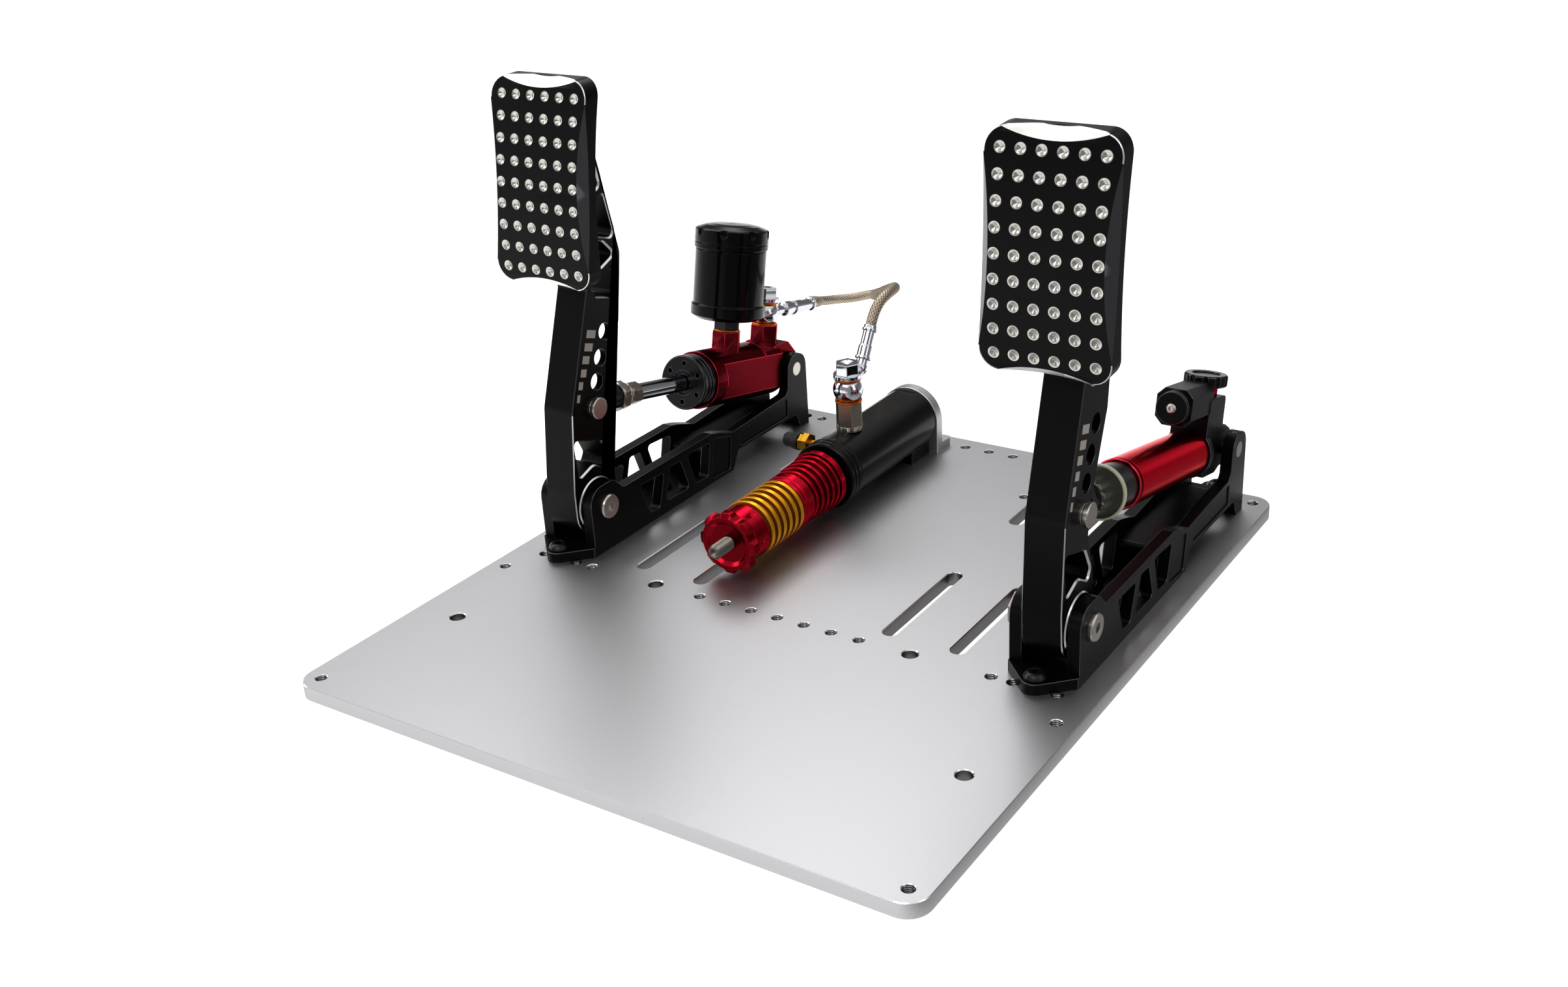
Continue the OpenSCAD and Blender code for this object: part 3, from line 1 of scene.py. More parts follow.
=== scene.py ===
"""Looks of the sim racing pedal set: finishes, fine shapes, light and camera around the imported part."""

import json
import logging
import math
from dataclasses import dataclass
from enum import Enum, IntEnum
from typing import Callable, Optional, Sequence

import bmesh
import bpy
import numpy as np
from mathutils import Matrix, Vector

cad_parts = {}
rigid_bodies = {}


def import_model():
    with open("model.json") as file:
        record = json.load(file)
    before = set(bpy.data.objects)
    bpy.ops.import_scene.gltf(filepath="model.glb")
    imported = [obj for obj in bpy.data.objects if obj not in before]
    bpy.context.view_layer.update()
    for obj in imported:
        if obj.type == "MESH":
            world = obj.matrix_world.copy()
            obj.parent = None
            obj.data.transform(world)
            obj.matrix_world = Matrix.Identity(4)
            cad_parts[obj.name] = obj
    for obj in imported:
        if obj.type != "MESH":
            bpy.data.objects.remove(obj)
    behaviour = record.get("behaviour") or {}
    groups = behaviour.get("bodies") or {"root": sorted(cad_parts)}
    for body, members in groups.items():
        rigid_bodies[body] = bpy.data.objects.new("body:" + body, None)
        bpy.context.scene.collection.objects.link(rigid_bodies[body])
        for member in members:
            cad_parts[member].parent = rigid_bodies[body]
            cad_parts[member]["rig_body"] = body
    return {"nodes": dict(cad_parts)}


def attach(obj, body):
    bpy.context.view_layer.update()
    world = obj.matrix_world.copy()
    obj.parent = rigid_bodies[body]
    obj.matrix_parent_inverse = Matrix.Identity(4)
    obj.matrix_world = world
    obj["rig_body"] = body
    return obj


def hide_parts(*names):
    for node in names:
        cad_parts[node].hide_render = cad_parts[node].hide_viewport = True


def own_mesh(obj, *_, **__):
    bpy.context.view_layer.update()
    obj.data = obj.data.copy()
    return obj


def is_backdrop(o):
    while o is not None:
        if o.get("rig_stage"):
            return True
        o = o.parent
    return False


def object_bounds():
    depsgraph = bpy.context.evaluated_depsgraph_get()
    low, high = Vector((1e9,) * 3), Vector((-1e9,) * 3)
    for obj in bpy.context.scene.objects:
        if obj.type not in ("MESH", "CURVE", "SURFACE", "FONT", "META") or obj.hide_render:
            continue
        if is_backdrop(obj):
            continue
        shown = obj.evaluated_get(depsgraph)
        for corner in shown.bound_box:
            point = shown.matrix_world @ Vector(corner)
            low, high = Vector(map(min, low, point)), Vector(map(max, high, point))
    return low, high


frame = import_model()

log = logging.getLogger("pedal_set")
MM = 0.001
# Segments in a profile's rounded corner, and the share of a short edge that a corner may take
CORNER_STEPS = 4
SHORT_EDGE = 0.45
# Points of a CAD mesh nearer than this are one, in metres, and faces flatter than this are one, in degrees
JOIN = 2e-6
FLAT_ANGLE = 0.4
# Edges of milled bodies sharper than this stay sharp in the shading, in degrees
SHARP_ANGLE = 30
# A strip lies over edges that are sharper, in degrees, and longer, in mm, and stands proud by this many mm
STRIP_ANGLE = 32
STRIP_SHORTEST = 0.1
STRIP_LIFT = 0.012

Profile = Sequence[tuple[float, float]]
Paint = Callable[[np.ndarray, np.ndarray], np.ndarray]
EdgeRule = Callable[[np.ndarray, np.ndarray, np.ndarray], np.ndarray]
ChamferRule = Callable[[np.ndarray, np.ndarray, np.ndarray], tuple[np.ndarray, np.ndarray]]
Shape = Callable[[np.ndarray, np.ndarray, np.ndarray], np.ndarray]


# Numbers and outlines


def unit(v: Sequence[float]) -> np.ndarray:
    """Returns v with a length of one."""
    a = np.asarray(v, float)
    return a / np.linalg.norm(a)


def smooth_step(t: np.ndarray) -> np.ndarray:
    """Returns t clipped to 0..1 and eased at both ends, t * t * (3 - 2 t)."""
    t = np.clip(t, 0, 1)
    return t * t * (3 - 2 * t)


def soften(profile: Profile, radius: float) -> np.ndarray:
    """Rounds the corners of a closed profile.

    Each corner b becomes the curve (1-t)^2 p + 2 t (1-t) b + t^2 q, where p and q lie on its two edges, at
    the rounding radius or at 0.45 of a short edge.

    Args:
        profile: points in mm.
        radius: the most that a corner is cut back, in mm.

    Returns:
        The rounded points.
    """
    points = np.asarray(profile, float)
    before = np.roll(points, 1, axis=0) - points
    after = np.roll(points, -1, axis=0) - points
    length_before = np.linalg.norm(before, axis=1)
    length_after = np.linalg.norm(after, axis=1)
    cut_before = np.minimum(radius, SHORT_EDGE * length_before) / length_before
    cut_after = np.minimum(radius, SHORT_EDGE * length_after) / length_after
    p = points + before * cut_before[:, None]
    q = points + after * cut_after[:, None]
    t = np.linspace(0, 1, CORNER_STEPS + 1)[None, :, None]
    curve = (1 - t) ** 2 * p[:, None] + 2 * t * (1 - t) * points[:, None] + t ** 2 * q[:, None]
    return curve.reshape(-1, 2)


@dataclass(frozen=True)
class Axes:
    """A local frame of the part: an origin in mm, turned about X.

    Attributes:
        origin: where the local origin is.
        tilt: degrees by which local +Y rises above the row's +Y.
    """

    origin: tuple[float, float, float]
    tilt: float = 0.0

    def rows(self) -> np.ndarray:
        """Returns the local x, y and z directions as rows."""
        c = math.cos(math.radians(self.tilt))
        s = math.sin(math.radians(self.tilt))
        return np.array([[1, 0, 0], [0, c, s], [0, -s, c]])

    def place(self, points: np.ndarray) -> np.ndarray:
        """Returns local points in mm as points of the row frame in mm."""
        return np.asarray(self.origin) + points @ self.rows()

    def local(self, points: np.ndarray) -> np.ndarray:
        """Returns points of the row frame in mm as local points in mm."""
        return (points - np.asarray(self.origin)) @ self.rows().T


class Side(IntEnum):
    """A pedal, with the sign of its X."""

    BRAKE = -1
    THROTTLE = 1


@dataclass(frozen=True)
class Layout:
    """Where things are, in mm, from an origin under the plate's centre.

    Attributes:
        pedal_x: distance of the pedals' middles from the plate's centre line.
        pivot: y and z of both pivots.
        clevis: y and z of a clevis pin in its pedal's frame.
        rear: y and z of the rear pins.
        throttle_lean: degrees by which the throttle pedal is turned at rest.
        slave: x and z of the slave cylinder's axis.
    """

    pedal_x: float = 178.0
    pivot: tuple[float, float] = (-21.1, 42.1)
    clevis: tuple[float, float] = (7.1, 68.1)
    rear: tuple[float, float] = (217.5, 60.0)
    throttle_lean: float = 3.4
    slave: tuple[float, float] = (-57.0, 35.5)

    def pedal(self, side: Side) -> Axes:
        """Returns the frame of a pedal at its pivot."""
        lean = self.throttle_lean if side is Side.THROTTLE else 0.0
        return Axes((side * self.pedal_x, *self.pivot), lean)

    def pin(self, side: Side) -> np.ndarray:
        """Returns the middle of a clevis pin."""
        return self.pedal(side).place(np.array([0.0, *self.clevis]))

    def cylinder(self, side: Side) -> Axes:
        """Works out how a cylinder lies.

        Args:
            side: the pedal it belongs to.

        Returns:
            Its frame: origin on the rear pin, +Y along it to the rear.
        """
        pin = self.pin(side)
        slope = math.degrees(math.atan2(pin[2] - self.rear[1], self.rear[0] - pin[1]))
        return Axes((side * self.pedal_x, *self.rear), -slope)

    def rod(self, side: Side) -> Axes:
        """Returns the cylinder's frame with its origin on the clevis pin."""
        return Axes(tuple(self.pin(side)), self.cylinder(side).tilt)

    def slave_axis(self) -> Axes:
        """Returns the slave cylinder's frame, whose origin is over the plate's centre line."""
        return Axes((self.slave[0], 0.0, self.slave[1]))


AT = Layout()
GROUND = Axes((0.0, 0.0, 0.0))


# Finishes


def linear(code: str) -> tuple[float, float, float, float]:
    """Turns a screen colour to linear light.

    Args:
        code: an sRGB colour such as "c81e2a".

    Returns:
        The colour in linear light with an alpha of 1.
    """
    values = []
    for i in (0, 2, 4):
        v = int(code[i:i + 2], 16) / 255
        values.append(v / 12.92 if v <= 0.04045 else ((v + 0.055) / 1.055) ** 2.4)
    return (*values, 1.0)


def empty_tree(holder: bpy.types.ID) -> bpy.types.NodeTree:
    """Clears the nodes of a material or world.

    Args:
        holder: the material or world.

    Returns:
        Its empty node tree.
    """
    holder.use_nodes = True
    holder.node_tree.nodes.clear()
    return holder.node_tree


def add_object(name: str, data: bpy.types.ID) -> bpy.types.Object:
    """Adds an object to the scene.

    Args:
        name: the object's name.
        data: its mesh, lamp or camera.

    Returns:
        The object.
    """
    made = bpy.data.objects.new(name, data)
    bpy.context.scene.collection.objects.link(made)
    return made


def add_node(tree: bpy.types.NodeTree, kind: str, values: Optional[dict] = None,
             **settings: object) -> bpy.types.Node:
    """Adds one shader node.

    Args:
        tree: the node tree.
        kind: the node's type name.
        values: input name or index to a constant, or to the socket or node that feeds it.
        settings: the node's own properties.

    Returns:
        The node.
    """
    node = tree.nodes.new(kind)
    for name, value in settings.items():
        setattr(node, name, value)
    for name, value in (values or {}).items():
        if isinstance(value, bpy.types.Node):
            value = value.outputs[0]
        if isinstance(value, bpy.types.NodeSocket):
            tree.links.new(value, node.inputs[name])
        else:
            node.inputs[name].default_value = value
    return node


class Relief(Enum):
    """How the surface was left."""

    PLAIN = "plain"
    BLASTED = "blasted"
    MILLED = "milled"
    TURNED = "turned"
    CAST = "cast"
    WOVEN = "woven"


@dataclass(frozen=True)
class Finish:
    """One finish; some have light or shade painted into their colour.

    Attributes:
        name: the material's name.
        colour: sRGB colour.
        metallic: 1 for bare or dyed metal, 0 for everything else.
        roughness: how far it scatters a highlight.
        relief: how the surface was left.
        grain: features of the relief in each metre.
        depth: height of the relief in metres.
        wander: how far the roughness wanders to both sides.
        tone_and_painted_light: how far the colour wanders to both sides, as a share; at random in most
            reliefs, and in a woven one as painted shade in the gaps and painted highlight on the crests.
        clear: how much of what is behind shows through a thin clear wall.
        shine: specular level of a surface that is no metal, 0.5 for plain plastic.
        streak: how much turning rings draw the highlight out, along the attribute turn_way.
    """

    name: str
    colour: str
    metallic: float
    roughness: float
    relief: Relief = Relief.PLAIN
    grain: float = 400.0
    depth: float = 0.00002
    wander: float = 0.04
    tone_and_painted_light: float = 0.0
    clear: float = 0.0
    shine: float = 0.5
    streak: float = 0.0

    def _pattern(self, tree: bpy.types.NodeTree) -> bpy.types.NodeSocket:
        """Adds the nodes that work out the relief.

        Args:
            tree: the material's node tree.

        Returns:
            The relief's height as a socket of about 0..1.
        """
        place = add_node(tree, "ShaderNodeTexCoord").outputs["Object"]
        if self.relief is Relief.TURNED:
            rings = add_node(tree, "ShaderNodeAttribute", attribute_name="ring_mm").outputs["Fac"]
            noise = add_node(tree, "ShaderNodeTexNoise", {
                "W": rings, "Scale": self.grain * MM, "Detail": 3.0,
            }, noise_dimensions="1D")
            return noise.outputs[0]
        if self.relief is Relief.WOVEN:
            return add_node(tree, "ShaderNodeAttribute", attribute_name="weave").outputs["Fac"]
        if self.relief is Relief.MILLED:
            long = add_node(tree, "ShaderNodeMapping", {"Vector": place, "Scale": (1.0, 0.04, 1.0)})
            place = long.outputs[0]
        noise = add_node(tree, "ShaderNodeTexNoise", {
            "Vector": place, "Scale": self.grain, "Detail": 4.0, "Roughness": 0.6,
        })
        return noise.outputs[0]

    def material(self) -> bpy.types.Material:
        """Returns the material, made once for each name."""
        found = bpy.data.materials.get(self.name)
        if found:
            return found
        made = bpy.data.materials.new(self.name)
        tree = empty_tree(made)
        colour = linear(self.colour)
        skin = add_node(tree, "ShaderNodeBsdfPrincipled", {
            "Base Color": colour, "Metallic": self.metallic, "Roughness": self.roughness,
            "Alpha": 1 - self.clear,
        })
        if self.metallic:
            # The tint at grazing angles stays pale enough that dyed metal doesn't turn black at its rims
            skin.inputs["Specular Tint"].default_value = tuple(max(0.5, math.sqrt(v)) for v in colour)
        else:
            skin.inputs["Specular IOR Level"].default_value = self.shine
        if self.streak:
            skin.inputs["Anisotropic"].default_value = self.streak
            way = add_node(tree, "ShaderNodeAttribute", attribute_name="turn_way")
            tree.links.new(way.outputs["Vector"], skin.inputs["Tangent"])
        pattern = self._pattern(tree)
        if self.wander:
            spread = add_node(tree, "ShaderNodeMapRange", {
                0: pattern, "From Min": 0.25, "From Max": 0.75,
                "To Min": max(0.02, self.roughness - self.wander), "To Max": self.roughness + self.wander,
            })
            tree.links.new(spread.outputs[0], skin.inputs["Roughness"])
        # The colour wanders at random, except in a woven finish, where the weave gives painted shade in the
        # gaps and painted highlight on the crests
        if self.tone_and_painted_light:
            base = np.array(colour[:3])
            dark = (*(base * (1 - self.tone_and_painted_light)), 1.0)
            light = (*np.minimum(1, base * (1 + self.tone_and_painted_light)), 1.0)
            share = add_node(tree, "ShaderNodeMapRange", {0: pattern, "From Min": 0.3, "From Max": 0.7})
            mix = add_node(tree, "ShaderNodeMix", {0: share, 6: dark, 7: light}, data_type="RGBA")
            tree.links.new(mix.outputs[2], skin.inputs["Base Color"])
        if self.relief not in (Relief.PLAIN, Relief.WOVEN):
            bump = add_node(tree, "ShaderNodeBump", {
                "Height": pattern, "Distance": self.depth, "Strength": 1.0,
            })
            tree.links.new(bump.outputs[0], skin.inputs["Normal"])
        add_node(tree, "ShaderNodeOutputMaterial", {"Surface": skin})
        return made


# Real grit and cutter lines are a few hundredths of a mm. They are drawn 0.4 to 2 mm wide, so that they show

# Aluminium plate, bead blasted and clear anodised, so it glitters finely and reflects only broad light
PLATE = Finish("clear_anodised_blasted_aluminium", "b8b8ba", 1.0, 0.42, Relief.BLASTED, 2200, 0.00002, 0.06,
               tone_and_painted_light=0.16)
# Bare aluminium left by the cutter on chamfers
BRIGHT = Finish("bare_milled_aluminium", "e8e6e2", 1.0, 0.24, Relief.MILLED, 1500, 0.000003, 0.05)
# Walls of the plate's slots and holes, milled deep, darkened with painted shade
SHADED_WALL = Finish("milled_aluminium_wall", "6c6b6c", 1.0, 0.36, Relief.MILLED, 1500, 0.000004, 0.06)
# Tapped threads, darkened with painted shade deep in their holes
SHADED_TAPPED = Finish("tapped_aluminium_thread", "848486", 1.0, 0.28, Relief.CAST, 1500, 0.000003, 0.05)
# Cones turned by a rotating cutter, whose rings draw the highlight into wedges
DIMPLE = Finish("turned_aluminium_cone", "c0bdb7", 1.0, 0.22, wander=0.0, streak=0.9)
# Bare aluminium on the scooped edges of the pedal faces, cut so fine that it shines evenly
SCOOP = Finish("fly_cut_aluminium", "f6f4f0", 1.0, 0.5, wander=0.0)
# The left scoop, the same fly cut aluminium, made grey with painted shade as it faces away from the light
SHADED_LEFT_SCOOP = Finish("fly_cut_aluminium_grey", "a2a1a3", 1.0, 0.4, wander=0.02)
# The scoop on the right side, the same fly cut aluminium made dark with painted shade; it kept the cutter's
# steps
SHADED_RIGHT_SCOOP = Finish("black_anodised_fly_cut_aluminium", "545458", 1.0, 0.36, Relief.MILLED, 1800, 0.000006,
                    wander=0.06)
# Aluminium, milled and dyed black in the anodising bath, with a satin skin
BLACK = Finish("black_anodised_milled_aluminium", "050506", 0.0, 0.36, Relief.MILLED, 1400, 0.000003, 0.05,
               shine=0.09)
# The sharp milled edges of the black parts, more polished than the skin, and a grey metal instead of black: a
# painted highlight
BLACK_EDGE_HIGHLIGHT = Finish("black_anodised_chamfer", "56565b", 1.0, 0.26, Relief.MILLED, 1400, 0.000002, 0.04)
# Aluminium turned on a lathe and anodised black
BLACK_TURNED = Finish("black_anodised_turned_aluminium", "060607", 0.0, 0.24, Relief.TURNED, 1500, 0.000003,
                      wander=0.05, shine=0.16)
# Aluminium dyed bright red after turning
RED = Finish("red_anodised_turned_aluminium", "c2122a", 1.0, 0.22, Relief.TURNED, 1500, 0.000002, 0.04)
# The same dye on the knob, milled round its lobes, darkened with painted shade
SHADED_RED_KNOB = Finish("red_anodised_milled_knob", "98101f", 1.0, 0.22, Relief.CAST, 900, 0.000001, 0.03)
# The same dye in the gaps between turned discs, darkened with painted shade
SHADED_RED_GAP = Finish("red_anodised_gap", "640814", 1.0, 0.4, Relief.TURNED, 1500, 0.000002, 0.04)
# Aluminium tube, drawn, brushed fine and dyed red
RED_SATIN = Finish("red_anodised_drawn_aluminium", "e4142f", 1.0, 0.2, Relief.TURNED, 900, 0.000001, 0.03)
# Aluminium block milled and dyed deep red
DEEP_RED = Finish("deep_red_anodised_milled_aluminium", "5c1018", 1.0, 0.3, Relief.MILLED, 1200, 0.000002,
                  wander=0.05)
# The polished chamfers of that block, in a brighter red than its dye: a painted highlight
RED_EDGE_HIGHLIGHT = Finish("polished_red_anodised_chamfer", "e23146", 1.0, 0.16)
# Spring steel discs with a gold coloured coating
GOLD = Finish("gold_coated_spring_steel", "ffb428", 0.8, 0.28, Relief.TURNED, 1400, 0.000002, 0.04)
# The same coating in the gaps between the discs, darkened with painted shade
SHADED_GOLD_GAP = Finish("gold_coated_steel_gap", "9a5a0c", 0.7, 0.42, Relief.TURNED, 1400, 0.000002, 0.04)
# Brass hexagon, turned and left bare
BRASS = Finish("turned_brass", "c18f2c", 1.0, 0.3, Relief.TURNED, 1200, 0.000003)
# Stainless steel screws and pins, turned
STEEL = Finish("turned_stainless_steel", "c2bdb5", 1.0, 0.28, Relief.TURNED, 1500, 0.000004, 0.06)
# Nickel plated steel nuts, slightly warm
NICKEL = Finish("nickel_plated_steel", "b3aaa0", 1.0, 0.26, Relief.MILLED, 1600, 0.000005, 0.05)
# Hexagon bar, drawn and brushed along its flats
BRUSHED = Finish("brushed_steel_hexagon", "9d9589", 1.0, 0.3, Relief.MILLED, 1600, 0.000008, 0.06)
# Hard chrome on a ground rod
CHROME = Finish("hard_chrome_plate", "d4d6dc", 1.0, 0.07, Relief.TURNED, 500, 0.000001, 0.02)
# Copper sealing rings, annealed and dull
COPPER = Finish("annealed_copper", "c9651f", 1.0, 0.36, Relief.CAST, 1500, 0.000004, 0.06)
# Black oxide on alloy steel screws
OXIDE = Finish("black_oxide_steel", "0d0d0f", 0.0, 0.3, Relief.CAST, 1400, 0.000004, 0.06, shine=0.3)
# Black acetal, turned and polished
ACETAL = Finish("polished_black_acetal", "040405", 0.0, 0.14, Relief.TURNED, 900, 0.000001, 0.03, shine=0.12)
# Black knob with fluted sides, anodised after milling and left shiny
FLUTED = Finish("black_anodised_fluted_aluminium", "626260", 1.0, 0.24, Relief.CAST, 900, 0.000001, 0.03)
# Moulded rubber
RUBBER = Finish("moulded_black_rubber", "1c1c1d", 0.0, 0.5, Relief.CAST, 1500, 0.00001, 0.05, shine=0.3)
# Clear polycarbonate ring
CLEAR = Finish("clear_polycarbonate", "a8aa94", 0.0, 0.1, wander=0.0, clear=0.95, shine=1.0)
# Pale sealing lip, moulded
LIP = Finish("pale_urethane", "d6d3b4", 0.0, 0.3, Relief.CAST, 900, 0.000004)
# Laser marking that took the dye off the aluminium
MARK = Finish("laser_marked_aluminium", "b5aca2", 0.0, 0.5, Relief.CAST, 2500, 0.000002, 0.04)
# Stainless wire braided over the hose, under a clear sleeve that yellows it a little; it is darker between
# the bundles and lighter on their crests, painted shade and painted highlight
BRAID = Finish("braided_stainless_wire", "8e8374", 1.0, 0.4, Relief.WOVEN, wander=0.06, tone_and_painted_light=0.8)
# Steel thread, rolled and dull
THREAD = Finish("rolled_steel_thread", "77716a", 1.0, 0.36, Relief.CAST, 1200, 0.000003, 0.06)


# Meshes


def store(mesh: bpy.types.Mesh, name: str, values: np.ndarray) -> None:
    """Keeps one number at each point of a mesh, which a finish reads."""
    kept = mesh.attributes.new(name, "FLOAT", "POINT")
    kept.data.foreach_set("value", values.astype(np.float32).ravel())


def write_mesh(name: str, points: np.ndarray, quads: np.ndarray, rings: Optional[np.ndarray] = None
               ) -> bpy.types.Mesh:
    """Makes a mesh of quads in the row frame, facing outwards.

    Args:
        name: the mesh's name.
        points: (n, 3) array in mm.
        quads: (m, 4) array of indices.
        rings: value of ring_mm at each point, for turned finishes.

    Returns:
        The mesh.
    """
    p = points * MM
    a, b, c, d = (p[quads[:, i]] for i in range(4))
    volume = np.einsum("ij,ij->", np.cross(b - a, c - a), a)
    volume += np.einsum("ij,ij->", np.cross(c - a, d - a), a)
    if volume < 0:
        quads = quads[:, ::-1]
    mesh = bpy.data.meshes.new(name)
    mesh.vertices.add(len(p))
    mesh.vertices.foreach_set("co", p.astype(np.float32).ravel())
    mesh.loops.add(quads.size)
    mesh.loops.foreach_set("vertex_index", quads.astype(np.int32).ravel())
    mesh.polygons.add(len(quads))
    mesh.polygons.foreach_set("loop_start", np.arange(0, quads.size, 4, dtype=np.int32))
    mesh.polygons.foreach_set("use_smooth", np.ones(len(quads), bool))
    if rings is not None:
        store(mesh, "ring_mm", rings)
    mesh.update(calc_edges=True)
    return mesh


def grid_quads(rows: int, columns: int, wrap_rows: bool = False, wrap_columns: bool = True) -> np.ndarray:
    """Joins a grid of points, numbered row by row.

    Args:
        rows: number of rows.
        columns: number of columns.
        wrap_rows: whether the last row joins the first.
        wrap_columns: whether the last column joins the first.

    Returns:
        (m, 4) array of indices.
    """
    index = np.arange(rows * columns).reshape(rows, columns)
    if wrap_rows:
        index = np.vstack([index, index[:1]])
    if wrap_columns:
        index = np.hstack([index, index[:, :1]])
    return np.stack([index[:-1, :-1], index[1:, :-1], index[1:, 1:], index[:-1, 1:]], axis=-1).reshape(-1, 4)


class Piece:
    """A shown piece: it takes the place of CAD nodes and rides on their body."""

    made: list["Piece"] = []

    def __init__(self, name: str, mesh: bpy.types.Mesh, finishes: Sequence[Finish], nodes: Sequence[str],
                 hides: bool = True) -> None:
        """Makes the object.

        Args:
            name: the piece's name.
            mesh: its mesh in the row frame.
            finishes: materials by index.
            nodes: the CAD nodes it stands for or sits on.
            hides: whether those nodes are hidden.
        """
        self.object = add_object(name, mesh)
        for finish in finishes:
            mesh.materials.append(finish.material())
        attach(self.object, frame["nodes"][nodes[0]]["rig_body"])
        if hides:
            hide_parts(*nodes)
        Piece.made.append(self)

    def weighted(self) -> "Piece":
        """Lets flat faces keep their own shading next to rounded edges.

        Returns:
            The piece.
        """
        made = self.object.modifiers.new("weighted", "WEIGHTED_NORMAL")
        made.keep_sharp = True
        return self


def turned_mesh(name: str, at: Axes, profile: np.ndarray, segments: int = 96, shape: Optional[Shape] = None
                ) -> bpy.types.Mesh:
    """Turns a closed profile about the local Y axis.

    The point at angle a of profile point (y, r) is (r cos a, y, r sin a). A shape function may change r.

    Args:
        name: the mesh's name.
        at: the local frame.
        profile: (n, 2) array of y and radius, in mm.
        segments: steps round the axis.
        shape: function of y, radius and angle that gives the new radius.

    Returns:
        The mesh in the row frame.
    """
    y = profile[:, 0][:, None]
    r = profile[:, 1][:, None]
    a = np.linspace(0, 2 * math.pi, segments, endpoint=False)[None, :]
    radius = np.broadcast_to(r, (len(profile), segments)) if shape is None else shape(y, r, a)
    points = np.stack([radius * np.cos(a), np.broadcast_to(y, radius.shape), radius * np.sin(a)], axis=-1)
    rings = np.broadcast_to(y + r, radius.shape)
    quads = grid_quads(len(profile), segments, wrap_rows=True)
    return write_mesh(name, at.place(points.reshape(-1, 3)), quads, rings)


def hexagon(flats: float) -> Shape:
    """Keeps a turned body inside a hexagon: r = min(r, (flats / 2) / cos(a from the flat)).

    Args:
        flats: distance across the flats in mm.

    Returns:
        The shape function.
    """

    def shape(y: np.ndarray, r: np.ndarray, a: np.ndarray) -> np.ndarray:
        """Returns the radius inside the hexagon."""
        off = (a + math.pi / 6) % (math.pi / 3) - math.pi / 6
        return np.minimum(r, flats / 2 / np.cos(off))

    return shape


def notches(count: int, distance: float, radius: float, bottom: float, phase: float) -> Shape:
    """Cuts round-bottomed notches into a rim.

    At height y the notch's radius is q = sqrt(radius^2 - max(0, bottom + radius - y)^2). At an angle f from
    its centre the rim is cut back to distance cos f - sqrt(q^2 - (distance sin f)^2).

    Args:
        count: how many notches.
        distance: of their centres from the axis, in mm.
        radius: of a notch, in mm.
        bottom: local y of a notch's bottom, in mm.
        phase: angle of the first notch, in radians.

    Returns:
        The shape function.
    """

    def shape(y: np.ndarray, r: np.ndarray, a: np.ndarray) -> np.ndarray:
        """Cuts the notches.

        Args:
            y: heights of the points.
            r: their radii.
            a: their angles.

        Returns:
            The new radii.
        """
        step = 2 * math.pi / count
        f = (a - phase + step / 2) % step - step / 2
        wide = radius ** 2 - np.maximum(0, bottom + radius - y) ** 2
        inside = wide - (distance * np.sin(f)) ** 2
        cut = np.where(inside > 0, distance * np.cos(f) - np.sqrt(np.maximum(inside, 0)), 1e9)
        return np.minimum(r, cut)

    return shape


def shade(mesh: bpy.types.Mesh, sharp: float) -> None:
    """Shades a mesh smooth except at edges sharper than so many degrees."""
    mesh.polygons.foreach_set("use_smooth", np.ones(len(mesh.polygons), bool))
    mesh.set_sharp_from_angle(angle=math.radians(sharp))


def cad_mesh(node: str, name: str) -> bpy.types.Mesh:
    """Copies a CAD node's mesh with its points joined and its flat faces whole.

    Args:
        node: the CAD node.
        name: the new mesh's name.

    Returns:
        The copy.
    """
    bm = bmesh.new()
    bm.from_mesh(frame["nodes"][node].data)
    bmesh.ops.remove_doubles(bm, verts=bm.verts, dist=JOIN)
    bmesh.ops.dissolve_limit(bm, angle_limit=math.radians(FLAT_ANGLE), verts=bm.verts, edges=bm.edges)
    mesh = bpy.data.meshes.new(name)
    bm.to_mesh(mesh)
    bm.free()
    shade(mesh, SHARP_ANGLE)
    return mesh


def paint(mesh: bpy.types.Mesh, at: Axes, rule: Paint) -> None:
    """Sets each face's material index.

    Args:
        mesh: the mesh in the row frame.
        at: the local frame in which the rule thinks.
        rule: function of the faces' middles in mm and normals, both local, that gives the indices.
    """
    count = len(mesh.polygons)
    middles = np.zeros(count * 3, np.float32)
    normals = np.zeros(count * 3, np.float32)
    mesh.polygons.foreach_get("center", middles)
    mesh.polygons.foreach_get("normal", normals)
    middles = at.local(middles.reshape(-1, 3).astype(float) / MM)
    normals = normals.reshape(-1, 3).astype(float) @ at.rows().T
    mesh.polygons.foreach_set("material_index", rule(middles, normals).astype(np.int32))


